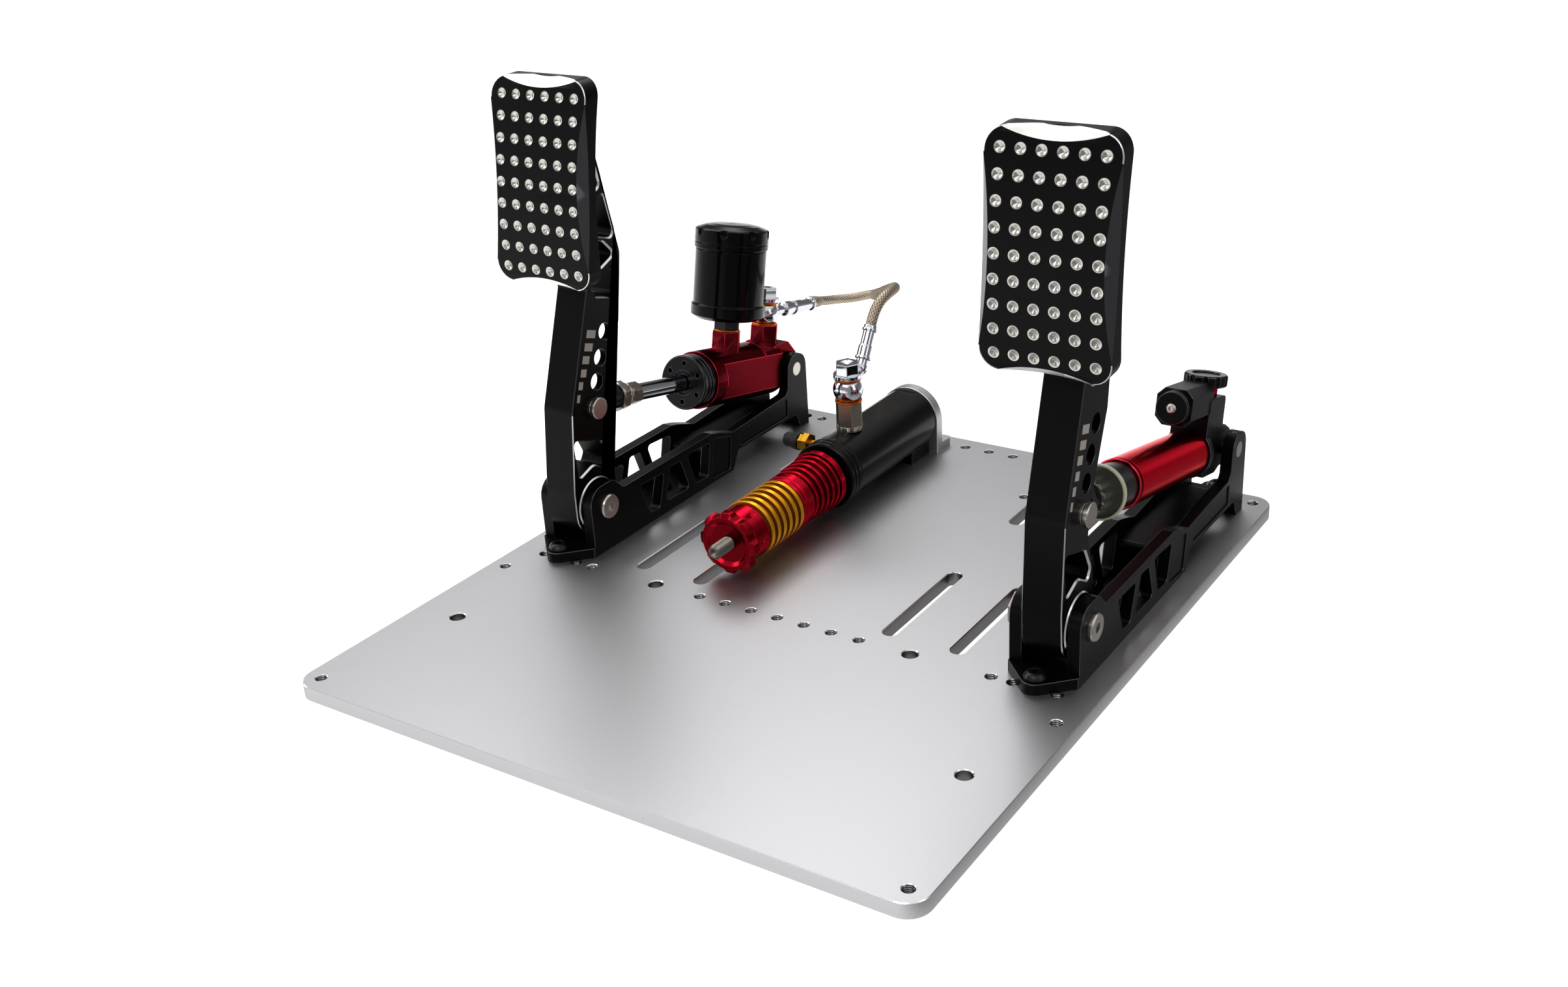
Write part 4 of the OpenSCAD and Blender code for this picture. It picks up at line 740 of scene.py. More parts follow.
def edge_strips(mesh: bpy.types.Mesh, at: Axes, width: float, index: int, rule: Optional[EdgeRule] = None
                ) -> None:
    """Lays a rounded strip over each sharp convex edge, as the broken edge of a machined part.

    Between two faces with the normals a and b and the inward directions p and q the strip goes from e + w p
    over e + 0.012 (a + b) to e + w q. Its ends stand 0.012 mm above the faces.

    Args:
        mesh: the mesh in the row frame.
        at: the local frame in which the rule thinks.
        width: reach of the strip on each face, in mm.
        index: material index of the strips.
        rule: function of edge middles in mm and both normals that gives which edges are taken.
    """
    bm = bmesh.new()
    bm.from_mesh(mesh)
    limit = math.radians(STRIP_ANGLE)
    rims = [e for e in bm.edges if len(e.link_faces) == 2 and e.is_convex and e.calc_face_angle(0) > limit
            and e.calc_length() > STRIP_SHORTEST * MM]
    if rule is not None:
        middles = np.array([((e.verts[0].co + e.verts[1].co) / 2)[:] for e in rims]) / MM
        first = np.array([e.link_faces[0].normal[:] for e in rims])
        second = np.array([e.link_faces[1].normal[:] for e in rims])
        taken = rule(at.local(middles), first @ at.rows().T, second @ at.rows().T)
        rims = [e for e, take in zip(rims, taken) if take]
    lift = STRIP_LIFT * MM
    for edge in rims:
        near, far = edge.link_loops
        a, b = near.face.normal.copy(), far.face.normal.copy()
        start, end = near.vert.co.copy(), near.link_loop_next.vert.co.copy()
        ahead = (end - start).normalized()
        ways = (a.cross(ahead) * width * MM + a * lift, (a + b) * lift,
                ahead.cross(b) * width * MM + b * lift)
        ring = [[bm.verts.new(spot + way) for way in ways] for spot in (start, end)]
        for k in (0, 1):
            face = bm.faces.new((ring[0][k], ring[1][k], ring[1][k + 1], ring[0][k + 1]))
            face.material_index = index
            face.smooth = True
            face.normal_update()
            if face.normal.dot(a + b) < 0:
                face.normal_flip()
    bm.to_mesh(mesh)
    bm.free()


def chamfer_rims(mesh: bpy.types.Mesh, at: Axes, axis: int, rule: ChamferRule) -> None:
    """Chamfers the convex edges of all faces that look along one local axis, 45 degrees to that axis.

    A rim point moves into its flat face by w m / max(m . d, 0.5), where m is the mean of the inward
    directions d of its rim edges and w the width, and the walls next to it now start w below the face.

    Args:
        mesh: the mesh in the row frame.
        at: the local frame in which the rule thinks.
        axis: number of the local axis.
        rule: function of edge middles in mm, inward directions and loop sizes, that gives widths in mm and
            the material indices of the chamfers.
    """
    bm = bmesh.new()
    bm.from_mesh(mesh)
    bm.verts.index_update()
    points = at.local(np.array([v.co[:] for v in bm.verts]) / MM)
    faces = [[v.index for v in f.verts] for f in bm.faces]
    slots = [f.material_index for f in bm.faces]
    normals = np.array([f.normal[:] for f in bm.faces]) @ at.rows().T
    flat = np.abs(normals[:, axis]) > 0.99
    rims = []
    for edge in bm.edges:
        if len(edge.link_faces) != 2:
            continue
        top, wall = edge.link_loops[0], edge.link_loops[1]
        if flat[wall.face.index]:
            top, wall = wall, top
        if not flat[top.face.index] or abs(normals[wall.face.index][axis]) > 0.3:
            continue
        start = top.vert.index
        end = top.link_loop_next.vert.index
        inward = np.cross(normals[top.face.index], unit(points[end] - points[start]))
        if inward @ normals[wall.face.index] < 0:
            rims.append((edge, start, end, inward, normals[top.face.index]))
    reach = loop_sizes([r[0] for r in rims])
    middles = np.array([(points[a] + points[b]) / 2 for _, a, b, _, _ in rims])
    inwards = np.array([r[3] for r in rims])
    widths, finishes = rule(middles, inwards, reach)
    links: dict[int, list[int]] = {}
    for i, (_, a, b, _, _) in enumerate(rims):
        links.setdefault(a, []).append(i)
        links.setdefault(b, []).append(i)
    split: dict[int, int] = {}
    moved = points.copy()
    extra = []
    for v, ids in links.items():
        width = min(widths[i] for i in ids)
        if len(ids) < 2 or width <= 0:
            continue
        mean = unit(sum(inwards[i] for i in ids))
        split[v] = len(points) + len(extra)
        extra.append(points[v] - width * rims[ids[0]][4])
        moved[v] = points[v] + width * mean / max(0.5, float(mean @ inwards[ids[0]]))
    faces = [f if flat[i] else [split.get(v, v) for v in f] for i, f in enumerate(faces)]
    for i, (_, a, b, _, _) in enumerate(rims):
        corners = list(dict.fromkeys([b, a, split.get(a, a), split.get(b, b)]))
        if len(corners) > 2:
            faces.append(corners)
            slots.append(int(finishes[i]))
    bm.free()
    every = at.place(np.vstack([moved, np.array(extra).reshape(-1, 3)])) * MM
    mesh.clear_geometry()
    mesh.from_pydata(every.tolist(), [], faces)
    mesh.polygons.foreach_set("material_index", slots)
    shade(mesh, SHARP_ANGLE)


def loop_sizes(edges: Sequence[bmesh.types.BMEdge]) -> np.ndarray:
    """Measures the loops that edges form.

    Args:
        edges: the edges, in metres.

    Returns:
        For each edge, the largest extent in mm of the loop it belongs to.
    """
    owner: dict[int, int] = {}

    def root(v: int) -> int:
        """Returns the point that stands for the loop of point v."""
        while owner.setdefault(v, v) != v:
            v = owner[v]
        return v

    for e in edges:
        owner[root(e.verts[0].index)] = root(e.verts[1].index)
    boxes: dict[int, list] = {}
    for e in edges:
        boxes.setdefault(root(e.verts[0].index), []).extend([e.verts[0].co[:], e.verts[1].co[:]])
    extent = {k: float(np.ptp(np.array(v), axis=0).max()) / MM for k, v in boxes.items()}
    return np.array([extent[root(e.verts[0].index)] for e in edges])


def turning_way(mesh: bpy.types.Mesh, index: int) -> None:
    """Stores the way across the turning rings of each cone as the corner attribute "turn_way".

    In a cone with its tip at c the way at p is p - c.

    Args:
        mesh: the mesh in the row frame.
        index: material index of the cones.
    """
    bm = bmesh.new()
    bm.from_mesh(mesh)
    layer = bm.loops.layers.float_vector.new("turn_way")
    todo = {f for f in bm.faces if f.material_index == index}
    while todo:
        stack = [todo.pop()]
        cone = []
        while stack:
            face = stack.pop()
            cone.append(face)
            near = {f for v in face.verts for f in v.link_faces} & todo
            todo -= near
            stack.extend(near)
        normal = sum((f.normal * f.calc_area() for f in cone), Vector()).normalized()
        tip = min((v for f in cone for v in f.verts), key=lambda v: v.co.dot(normal)).co.copy()
        for face in cone:
            middle = face.calc_center_median()
            for loop in face.loops:
                arm = loop.vert.co - tip
                loop[layer] = (arm if arm.length > 1e-6 else middle - tip).normalized()
    bm.to_mesh(mesh)
    bm.free()


@dataclass(frozen=True)
class Cut:
    """A CAD node that is shown with broken edges.

    Attributes:
        node: the CAD node.
        finish: its skin.
        width: reach of the broken edges on each face, in mm.
        edge: the finish of the edges, where it differs.
    """

    node: str
    finish: Finish
    width: float = 0.3
    edge: Optional[Finish] = None

    def show(self) -> Piece:
        """Returns the piece."""
        name = self.node + "_shown"
        mesh = cad_mesh(self.node, name)
        if self.width:
            edge_strips(mesh, GROUND, self.width, 1)
        return Piece(name, mesh, [self.finish, self.edge or self.finish], [self.node]).weighted()


@dataclass(frozen=True)
class Turned:
    """A body turned from a profile.

    Attributes:
        node: the CAD node that it stands for, or sits on.
        name: the piece's name.
        finish: its finish.
        corner: the most that a corner is rounded, in mm.
        profile: points of local y and radius, in mm.
        segments: steps round the axis.
        hides: whether the CAD node is hidden.
        shape: function of y, radius and angle that gives the new radius.
    """

    node: str
    name: str
    finish: Finish
    corner: float
    profile: Profile
    segments: int = 128
    hides: bool = True
    shape: Optional[Shape] = None

    def show(self, at: Axes) -> Piece:
        """Returns the piece, turned about the local Y axis of a frame."""
        mesh = turned_mesh(self.name, at, soften(self.profile, self.corner), self.segments, self.shape)
        return Piece(self.name, mesh, [self.finish], [self.node], self.hides).weighted()


class Assembly:
    """A group of pieces that is dressed together."""

    cuts: tuple[Cut, ...] = ()

    def dress(self) -> None:
        """Makes the group's pieces."""
        for cut in self.cuts:
            cut.show()

    def spring(self, node: str, at: Axes, joint: str, travel: float) -> None:
        """Shows a spring with its own copy of the mesh; the share it would keep as the piston moves is worked
        out, but nothing moves its front end.

        Args:
            node: the CAD node.
            at: the cylinder's frame.
            joint: the slide that would shorten the spring; not used.
            travel: the slide's travel in mm.
        """
        piece = Cut(node, STEEL, 0.0).show()
        points = np.array([v.co[:] for v in piece.object.data.vertices]) / MM
        along = at.local(points)[:, 1]
        length = float(np.ptp(along))
        front = at.place(np.array([0.0, along.min(), 0.0])) * MM
        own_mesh(piece.object, joint, tuple(at.rows()[1]), tuple(front), keep=1 - travel / length)


# Base plate


@dataclass
class Plate(Assembly):
    """The base plate: blasted top, bright chamfers on the cut walls of its slots and holes, painted shade on
    those walls, and threads darkened with painted shade in the tapped holes.

    Attributes:
        half_w: half the plate's width.
        half_d: half its depth.
        top: its thickness.
        corner: x and y of the centre of a rounded corner.
        corner_r: radius past which a corner's wall lies.
        margin: how near the outer walls lie to the half sizes.
        small_rim: width of the chamfers of holes.
        large_rim: width of the chamfers of slots and the outline.
        large_from: extent from which a loop counts as large.
        thread_pitch: rise of a thread in one turn.
        tap_r: radius of a tapped hole.
        ridge: height of a thread.
        lap: how far a thread's foot lies outside its hole.
        fade: height over which it ends below the plate's top.
        inset: distance of a thread's ends from the plate's faces.
        rows: y of the front and rear rows of tapped holes.
        pitch_x: distance between their holes in the middle.
        side_pitch: distance between their holes beside a frame.
        other_taps: x and y of the other tapped holes on the right half.
        covered: the place in a row that a frame covers.
    """

    half_w: float = 216.0
    half_d: float = 255.0
    top: float = 10.0
    corner: tuple[float, float] = (202.0, 241.0)
    corner_r: float = 11.0
    margin: float = 3.0
    small_rim: float = 0.6
    large_rim: float = 0.5
    large_from: float = 20.0
    thread_pitch: float = 1.25
    tap_r: float = 3.4
    ridge: float = 0.5
    lap: float = 0.04
    fade: float = 0.8
    inset: float = 0.35
    rows: tuple[float, float] = (-50.0, 241.5)
    pitch_x: float = 20.0
    side_pitch: float = 14.0
    other_taps: Profile = ((204.0, -243.0), (204.0, 243.0), (204.0, -77.0), (59.0, 181.0))
    covered: tuple[float, float] = (-60.0, 241.5)

    def tapped(self) -> list[tuple[float, float]]:
        """Returns the places of the tapped holes that no frame covers."""
        spots = [(s * x, y) for s in (-1, 1) for x, y in self.other_taps]
        spots += [(self.pitch_x * i, y) for i in range(-3, 4) for y in self.rows]
        spots += [(s * (AT.pedal_x + self.side_pitch * i), y) for s in (-1, 1) for i in (-2, -1, 1)
                  for y in self.rows]
        return [p for p in spots if p != self.covered]

    def thread(self, x: float, y: float) -> tuple[np.ndarray, np.ndarray]:
        """Works out one internal thread.

        The ridge is r = tap_r + lap - ridge w, where w = 1 - |2 f - 1| and f is the fraction of
        z / pitch - a / 2 pi. It fades out below the plate's top.

        Args:
            x: place of the hole in mm.
            y: place of the hole in mm.

        Returns:
            Points in mm and quads.
        """
        steps_round, steps_up = 24, 60
        a = np.linspace(0, 2 * math.pi, steps_round, endpoint=False)[None, :]
        z = np.linspace(self.inset, self.top - self.inset, steps_up)[:, None]
        f = (z / self.thread_pitch - a / (2 * math.pi)) % 1
        shown = smooth_step((self.top - self.inset - z) / self.fade)
        r = self.tap_r + self.lap - self.ridge * (1 - np.abs(2 * f - 1)) * shown
        points = np.stack([x + r * np.cos(a), y + r * np.sin(a), np.broadcast_to(z, r.shape)], axis=-1)
        return points.reshape(-1, 3), grid_quads(steps_up, steps_round)[:, ::-1]

    def outside(self, p: np.ndarray) -> np.ndarray:
        """Finds the points on the plate's outer walls.

        Args:
            p: points in mm.

        Returns:
            Which of them lie there.
        """
        x, y = np.abs(p[:, 0]), np.abs(p[:, 1])
        in_corner = (x > self.corner[0]) & (y > self.corner[1])
        from_corner = np.hypot(x - self.corner[0], y - self.corner[1])
        return ((x > self.half_w - self.margin) | (y > self.half_d - self.margin)
                | (in_corner & (from_corner > self.corner_r)))

    def walls(self, p: np.ndarray, n: np.ndarray) -> np.ndarray:
        """Returns 2 on the walls of slots and holes, whose finish is darkened with painted shade, and 0
        elsewhere.
        """
        return np.where((np.abs(n[:, 2]) < 0.5) & ~self.outside(p), 2, 0)

    def rims(self, p: np.ndarray, inward: np.ndarray, reach: np.ndarray) -> tuple[np.ndarray, np.ndarray]:
        """Returns the chamfers' widths by loop size, and 1 for their finish."""
        return np.where(reach > self.large_from, self.large_rim, self.small_rim), np.ones(len(p), int)

    def dress(self) -> None:
        """Makes the plate and its threads."""
        mesh = cad_mesh("base_plate", "base_plate_shown")
        paint(mesh, GROUND, self.walls)
        chamfer_rims(mesh, GROUND, 2, self.rims)
        Piece("base_plate_shown", mesh, [PLATE, BRIGHT, SHADED_WALL], ["base_plate"]).weighted()
        parts = [self.thread(x, y) for x, y in self.tapped()]
        offsets = np.cumsum([0] + [len(p) for p, _ in parts[:-1]])
        points = np.vstack([p for p, _ in parts])
        quads = np.vstack([q + o for (_, q), o in zip(parts, offsets)])
        mesh = write_mesh("plate_threads", points, quads)
        Piece("plate_threads", mesh, [SHADED_TAPPED], ["base_plate"], hides=False)


# Frames, arms and faces


class FacePart(IntEnum):
    """Material index of each part of a pedal face."""

    SKIN = 0
    RIM = 1
    SCOOP = 2
    # The side scoops take copies of the scoop finish darkened with painted shade
    RIGHT_SCOOP = 3
    DIMPLE = 4
    LEFT_SCOOP = 5


@dataclass
class Pedal(Assembly):
    """One pedal with its frame, arm and face.

    Attributes:
        side: which pedal it is.
        bend_axis: y and z of the axis round which the face is bent, in the pedal's frame.
        bend_r: radius of the face's front round that axis.
        face_edge: width of the face's broken edge.
        slants: cosines to the front's normal at which walls, scoops and dimples end.
        arm_half: half the arm's thickness.
        window_size: smallest and largest extent of a window of the arm.
        outline_size: extent from which a loop of edges is the arm's outline.
        boss_r: radius round the pivot outside which an edge of the boss is its rim.
        chamfers: widths at the windows, the outline, the boss and elsewhere.
        lit_below: z below which the front edges take the bright finish and above which the grey one, lit and
            shaded copies of one chamfer painted as the light falls.
        mark_places: y, z and width of each graduation mark.
        mark_h: height of a mark.
        mark_turn: degrees by which a mark is turned.
    """

    side: Side
    bend_axis: tuple[float, float] = (386.9, 174.0)
    bend_r: float = 400.0
    face_edge: float = 0.55
    slants: tuple[float, float, float] = (0.3, 0.8, 0.985)
    arm_half: float = 12.5
    window_size: tuple[float, float] = (14.0, 70.0)
    outline_size: float = 100.0
    boss_r: float = 12.0
    chamfers: tuple[float, float, float, float] = (1.1, 0.6, 0.8, 0.25)
    lit_below: float = 66.0
    mark_places: tuple = ((12.5, 118.0, 9.1), (8.7, 110.0, 8.2), (4.7, 102.3, 6.9), (1.1, 94.2, 5.6),
                          (-3.1, 86.6, 4.3), (-6.6, 78.7, 2.9))
    mark_h: float = 5.3
    mark_turn: float = -18.5

    @property
    def name(self) -> str:
        """Returns the start of the names of its nodes."""
        return self.side.name.lower()

    def bend(self, p: np.ndarray) -> tuple[np.ndarray, np.ndarray]:
        """Measures points from the axis round which the face is bent.

        Args:
            p: points in mm.

        Returns:
            The unit vectors from the axis to them and their depths below the front.
        """
        spoke = p[:, 1:] - np.array(self.bend_axis)
        distance = np.hypot(spoke[:, 0], spoke[:, 1])
        return spoke / distance[:, None], self.bend_r - distance

    def face_rule(self, p: np.ndarray, n: np.ndarray) -> np.ndarray:
        """Tells scoops and dimples by how far the faces slant from the bent front, and the side scoops, whose
        finishes carry painted shade, by which way they face.

        Args:
            p: middles of the faces in mm.
            n: their normals.

        Returns:
            Their material indices.
        """
        spoke, depth = self.bend(p)
        out = (n[:, 1:] * spoke).sum(1)
        wall_end, scoop_end, dimple_end = self.slants
        slanted = (out > wall_end) & (out < dimple_end) & (depth > 0.03)
        scooped = slanted & (out < scoop_end)
        # Scoops facing left or right take the finishes with painted shade
        left = np.where(n[:, 0] < -0.4, FacePart.LEFT_SCOOP, FacePart.SCOOP)
        scoop = np.where(n[:, 0] > 0.4, FacePart.RIGHT_SCOOP, left)
        return np.where(scooped, scoop, np.where(slanted, FacePart.DIMPLE, FacePart.SKIN))

    def face_rims(self, p: np.ndarray, first: np.ndarray, second: np.ndarray) -> np.ndarray:
        """Finds the edges that join the bent front to a side wall.

        Args:
            p: middles of the edges in mm.
            first: normals of one face at each edge.
            second: normals of the other.

        Returns:
            Which edges do.
        """
        spoke, depth = self.bend(p)
        a = np.abs((first[:, 1:] * spoke).sum(1))
        b = np.abs((second[:, 1:] * spoke).sum(1))
        return (depth < 0.2) & (np.minimum(a, b) < 0.3) & (np.maximum(a, b) > 0.9)

    def arm_rims(self, p: np.ndarray, inward: np.ndarray, reach: np.ndarray
                 ) -> tuple[np.ndarray, np.ndarray]:
        """Chooses the arm's chamfers, bare round the windows and on the boss, and down the front edges bright
        below a height and grey above it, painted light and shade.

        Args:
            p: middles of the rim edges in mm.
            inward: their inward directions.
            reach: extents of the loops they belong to.

        Returns:
            Widths in mm and material indices.
        """
        smallest, largest = self.window_size
        outline = reach > self.outline_size
        on_arm = np.abs(p[:, 0]) < self.arm_half + 0.5
        window = (reach > smallest) & (reach < largest) & on_arm
        ring = ~on_arm & (np.hypot(p[:, 1], p[:, 2]) > self.boss_r)
        at_window, at_outline, at_boss, elsewhere = self.chamfers
        width = np.where(window, at_window, np.where(outline, at_outline, np.where(ring, at_boss, elsewhere)))
        # One front chamfer, painted bright where it is lit and grey where it is shaded
        lit_front = outline & (inward[:, 1] > 0.5) & (p[:, 2] < self.lit_below)
        return width, np.where(window | ring | lit_front, 1, 2)

    def arm(self) -> None:
        """Shows the arm with its chamfers."""
        node = f"{self.name}_arm"
        mesh = cad_mesh(node, node + "_shown")
        chamfer_rims(mesh, AT.pedal(self.side), 0, self.arm_rims)
        Piece(node + "_shown", mesh, [BLACK, BRIGHT, BLACK_EDGE_HIGHLIGHT], [node]).weighted()

    def face(self) -> None:
        """Shows the face with bare scoops, the side ones darkened with painted shade, dimples and rim."""
        at = AT.pedal(self.side)
        node = f"{self.name}_face"
        mesh = cad_mesh(node, node + "_shown")
        paint(mesh, at, self.face_rule)
        turning_way(mesh, FacePart.DIMPLE)
        edge_strips(mesh, at, self.face_edge, FacePart.RIM, self.face_rims)
        finishes = [BLACK, BRIGHT, SCOOP, SHADED_RIGHT_SCOOP, DIMPLE, SHADED_LEFT_SCOOP]
        Piece(node + "_shown", mesh, finishes, [node]).weighted()

    def marks(self) -> None:
        """Makes the six graduation marks on the arm's right side, thin slabs square to its front edge."""
        at = AT.pedal(self.side)
        turn = math.radians(self.mark_turn)
        along = np.array([math.cos(turn), math.sin(turn)])
        across = np.array([-along[1], along[0]])
        box = np.array([[0, 1, 2, 3], [7, 6, 5, 4], [0, 4, 5, 1], [1, 5, 6, 2], [2, 6, 7, 3], [3, 7, 4, 0]])
        points, quads = [], []
        for k, (y, z, width) in enumerate(self.mark_places):
            corners = [np.array([y, z]) + along * sx * width / 2 + across * sz * self.mark_h / 2
                       for sx, sz in ((-1, -1), (1, -1), (1, 1), (-1, 1))]
            for x in (self.arm_half - 0.05, self.arm_half + 0.03):
                points += [(x, c[0], c[1]) for c in corners]
            quads.append(box + 8 * k)
        mesh = write_mesh(f"{self.name}_marks", at.place(np.array(points)), np.vstack(quads))
        mesh.polygons.foreach_set("use_smooth", np.zeros(len(mesh.polygons), bool))
        Piece(f"{self.name}_marks", mesh, [MARK], [f"{self.name}_arm"], hides=False)

    def dress(self) -> None:
        """Makes the pedal's pieces."""
        Cut(f"{self.name}_frame", BLACK, 0.4, BLACK_EDGE_HIGHLIGHT).show()
        self.arm()
        self.face()
        self.marks()
        Cut(f"{self.name}_face_screws", OXIDE, 0.2).show()
        Cut(f"{self.name}_clevis_pin", STEEL, 0.2).show()
        Cut(f"{self.name}_bushes", BRASS, 0.0).show()


@dataclass
class Fasteners(Assembly):
    """Screws and pins of both frames."""

    cuts: tuple[Cut, ...] = (
        Cut("frame_screws", OXIDE, 0.25), Cut("pivot_bolts", STEEL, 0.25), Cut("rear_pins", STEEL, 0.4),
        Cut("ear_screws", STEEL, 0.15),
    )


# Brake master cylinder


@dataclass
class Master(Assembly):
    """The brake's rod, master cylinder and reservoir.

    Attributes:
        cuts: bodies shown as they are, with broken edges.
        rod: bodies turned about the rod's axis, from the clevis pin.
        reservoir: the reservoir, turned about its own axis.
        stem: where the reservoir stands in the cylinder's frame.
        lid: profile of the reservoir's lid.
        lid_r: radius of its rim.
        notch: number of notches in it, distance of their centres, their radius and y of their bottoms.
        notch_rows: y of the first and last extra row on the rim, for the notches.
    """

    cuts: tuple[Cut, ...] = (
        Cut("brake_rod_end", OXIDE, 0.4), Cut("master_cylinder", DEEP_RED, 0.3, RED_EDGE_HIGHLIGHT),
        Cut("master_gland", BLACK_TURNED, 0.25, BLACK_EDGE_HIGHLIGHT), Cut("reservoir_nut", OXIDE, 0.4),
        Cut("master_washers", COPPER, 0.25), Cut("master_piston", STEEL, 0.0), Cut("master_banjo", CHROME),
        Cut("master_banjo_bolt", CHROME, 0.4),
    )
    rod: tuple[Turned, ...] = (
        Turned("brake_jam_nut", "brake_jam_nut_shown", NICKEL, 0.3,
               ((37.7, 5.3), (37.7, 9.4), (39.2, 11.2), (44.2, 11.2), (45.7, 9.4), (45.7, 5.3)),
               96, shape=hexagon(18.8)),
        Turned("brake_jam_nut", "brake_collar", NICKEL, 0.25,
               ((45.7, 5.3), (45.7, 8.0), (47.1, 8.0), (47.6, 7.0), (48.6, 7.0), (49.1, 7.8), (50.3, 7.8),
                (50.3, 5.3)), 96, hides=False),
        Turned("push_rod", "push_rod_hexagon", NICKEL, 0.3,
               ((50.3, 0.3), (50.3, 7.4), (51.2, 8.6), (60.4, 8.6), (61.3, 7.4), (61.3, 0.3)),
               96, shape=hexagon(14.4)),
        Turned("push_rod", "push_rod_chrome", CHROME, 0.6,
               ((60.3, 0.3), (60.3, 6.25), (166.3, 6.25), (166.3, 0.3)), 96, hides=False),
    )
    reservoir: Turned = Turned(
        "reservoir", "reservoir_shown", ACETAL, 0.7,
        ((0, 2.6), (0, 23.0), (3, 27.8), (11, 27.8), (11.6, 26.5), (51.9, 26.5), (51.9, 23.5), (5, 23.5),
         (5, 2.6)), 96)
    stem: tuple[float, float, float] = (0.0, -67.2, 43.0)
    lid: Profile = ((52.0, 0.2), (52.0, 26.5), (52.5, 26.5), (53, 27.5), (56.6, 27.5), (57.1, 26.9),
                    (57.6, 27.5), (66.5, 27.5), (67.5, 26.1), (69.6, 20.0), (70.6, 14.0), (71.3, 0.2))
    lid_r: float = 27.5
    notch: tuple[int, float, float, float] = (8, 29.4, 3.6, 60.5)
    notch_rows: tuple[float, float] = (60.2, 65.9)

    def show_lid(self, up: Axes) -> None:
        """Shows the lid with round-bottomed notches in its rim.

        Args:
            up: the reservoir's frame.
        """
        outline = soften(self.lid, 0.3)
        high = int(np.argmax(outline[:, 0] > self.notch_rows[1] + 0.1))
        rows = 24
        wall = np.stack([np.linspace(*self.notch_rows, rows), np.full(rows, self.lid_r)], axis=1)
        outline = np.vstack([outline[:high], wall, outline[high:]])
        cuts = notches(*self.notch, math.pi / self.notch[0])
        mesh = turned_mesh("reservoir_lid_shown", up, outline, 384, cuts)
        shade(mesh, 35)
        Piece("reservoir_lid_shown", mesh, [ACETAL], ["reservoir_lid"]).weighted()

    def dress(self) -> None:
        """Makes the cylinder's pieces."""
        super().dress()
        at = AT.cylinder(Side.BRAKE)
        for body in self.rod:
            body.show(AT.rod(Side.BRAKE))
        self.spring("master_spring", at, "push_rod_slide", 14.4)
        up = Axes(tuple(at.place(np.array(self.stem))), at.tilt + 90)
        self.reservoir.show(up)
        self.show_lid(up)


# Slave cylinder


@dataclass(frozen=True)
class Discs:
    """A pack of discs on the slave cylinder's axis.

    Attributes:
        node: the CAD node.
        finishes: of the rims and of the gaps, the second darkened with painted shade.
        start: y of its front end, in mm.
        end: y of its rear end.
        count: number of discs.
        front_r: radius of the rims at the front end.
        rear_r: radius of the rims at the rear end.
        low: depth of the gaps.
        land: width of a rim as a share of the pitch.
        bore: radius of the bore.
        gap_from: depth below the rims from which a face takes the gaps' finish with its painted shade.
    """

    node: str
    finishes: tuple[Finish, Finish]
    start: float
    end: float
    count: int
    front_r: float
    rear_r: float
    low: float
    land: float
    bore: float = 5.6
    gap_from: float = 1.3

    def profile(self) -> list[tuple[float, float]]:
        """Returns the outline: for each disc a rim between two short flanks that rise from the gaps."""
        pitch = (self.end - self.start) / self.count
        foot, top = (0.5 - self.land / 2 - 0.07) * pitch, (0.5 - self.land / 2) * pitch
        points = [(self.start, self.bore)]
        for i in range(self.count):
            rim = self.front_r + (self.rear_r - self.front_r) * (i + 0.5) / self.count
            gap = rim - self.low
            front = self.start + i * pitch
            rear = front + pitch
            points += [(front + 0.03 * pitch, gap), (front + foot, gap), (front + top, rim),
                       (rear - top, rim), (rear - foot, gap), (rear - 0.03 * pitch, gap)]
        return points + [(self.end, self.bore)]

    def show(self) -> Piece:
        """Shows the pack, whose gaps take the second finish, darkened with painted shade.

        Returns:
            The piece.
        """
        at = AT.slave_axis()
        outline = soften(self.profile(), 0.35)
        mesh = turned_mesh(self.node + "_shown", at, outline, 128)
        low, high = outline[:, 0].min(), outline[:, 0].max()

        def rule(p: np.ndarray, n: np.ndarray) -> np.ndarray:
            """Returns 1, painted shade, in the gaps and 0 on the rims."""
            rim = self.front_r + (self.rear_r - self.front_r) * (p[:, 1] - low) / (high - low)
            return np.where(np.hypot(p[:, 0], p[:, 2]) < rim - self.gap_from, 1, 0)

        paint(mesh, at, rule)
        return Piece(self.node + "_shown", mesh, self.finishes, [self.node]).weighted()


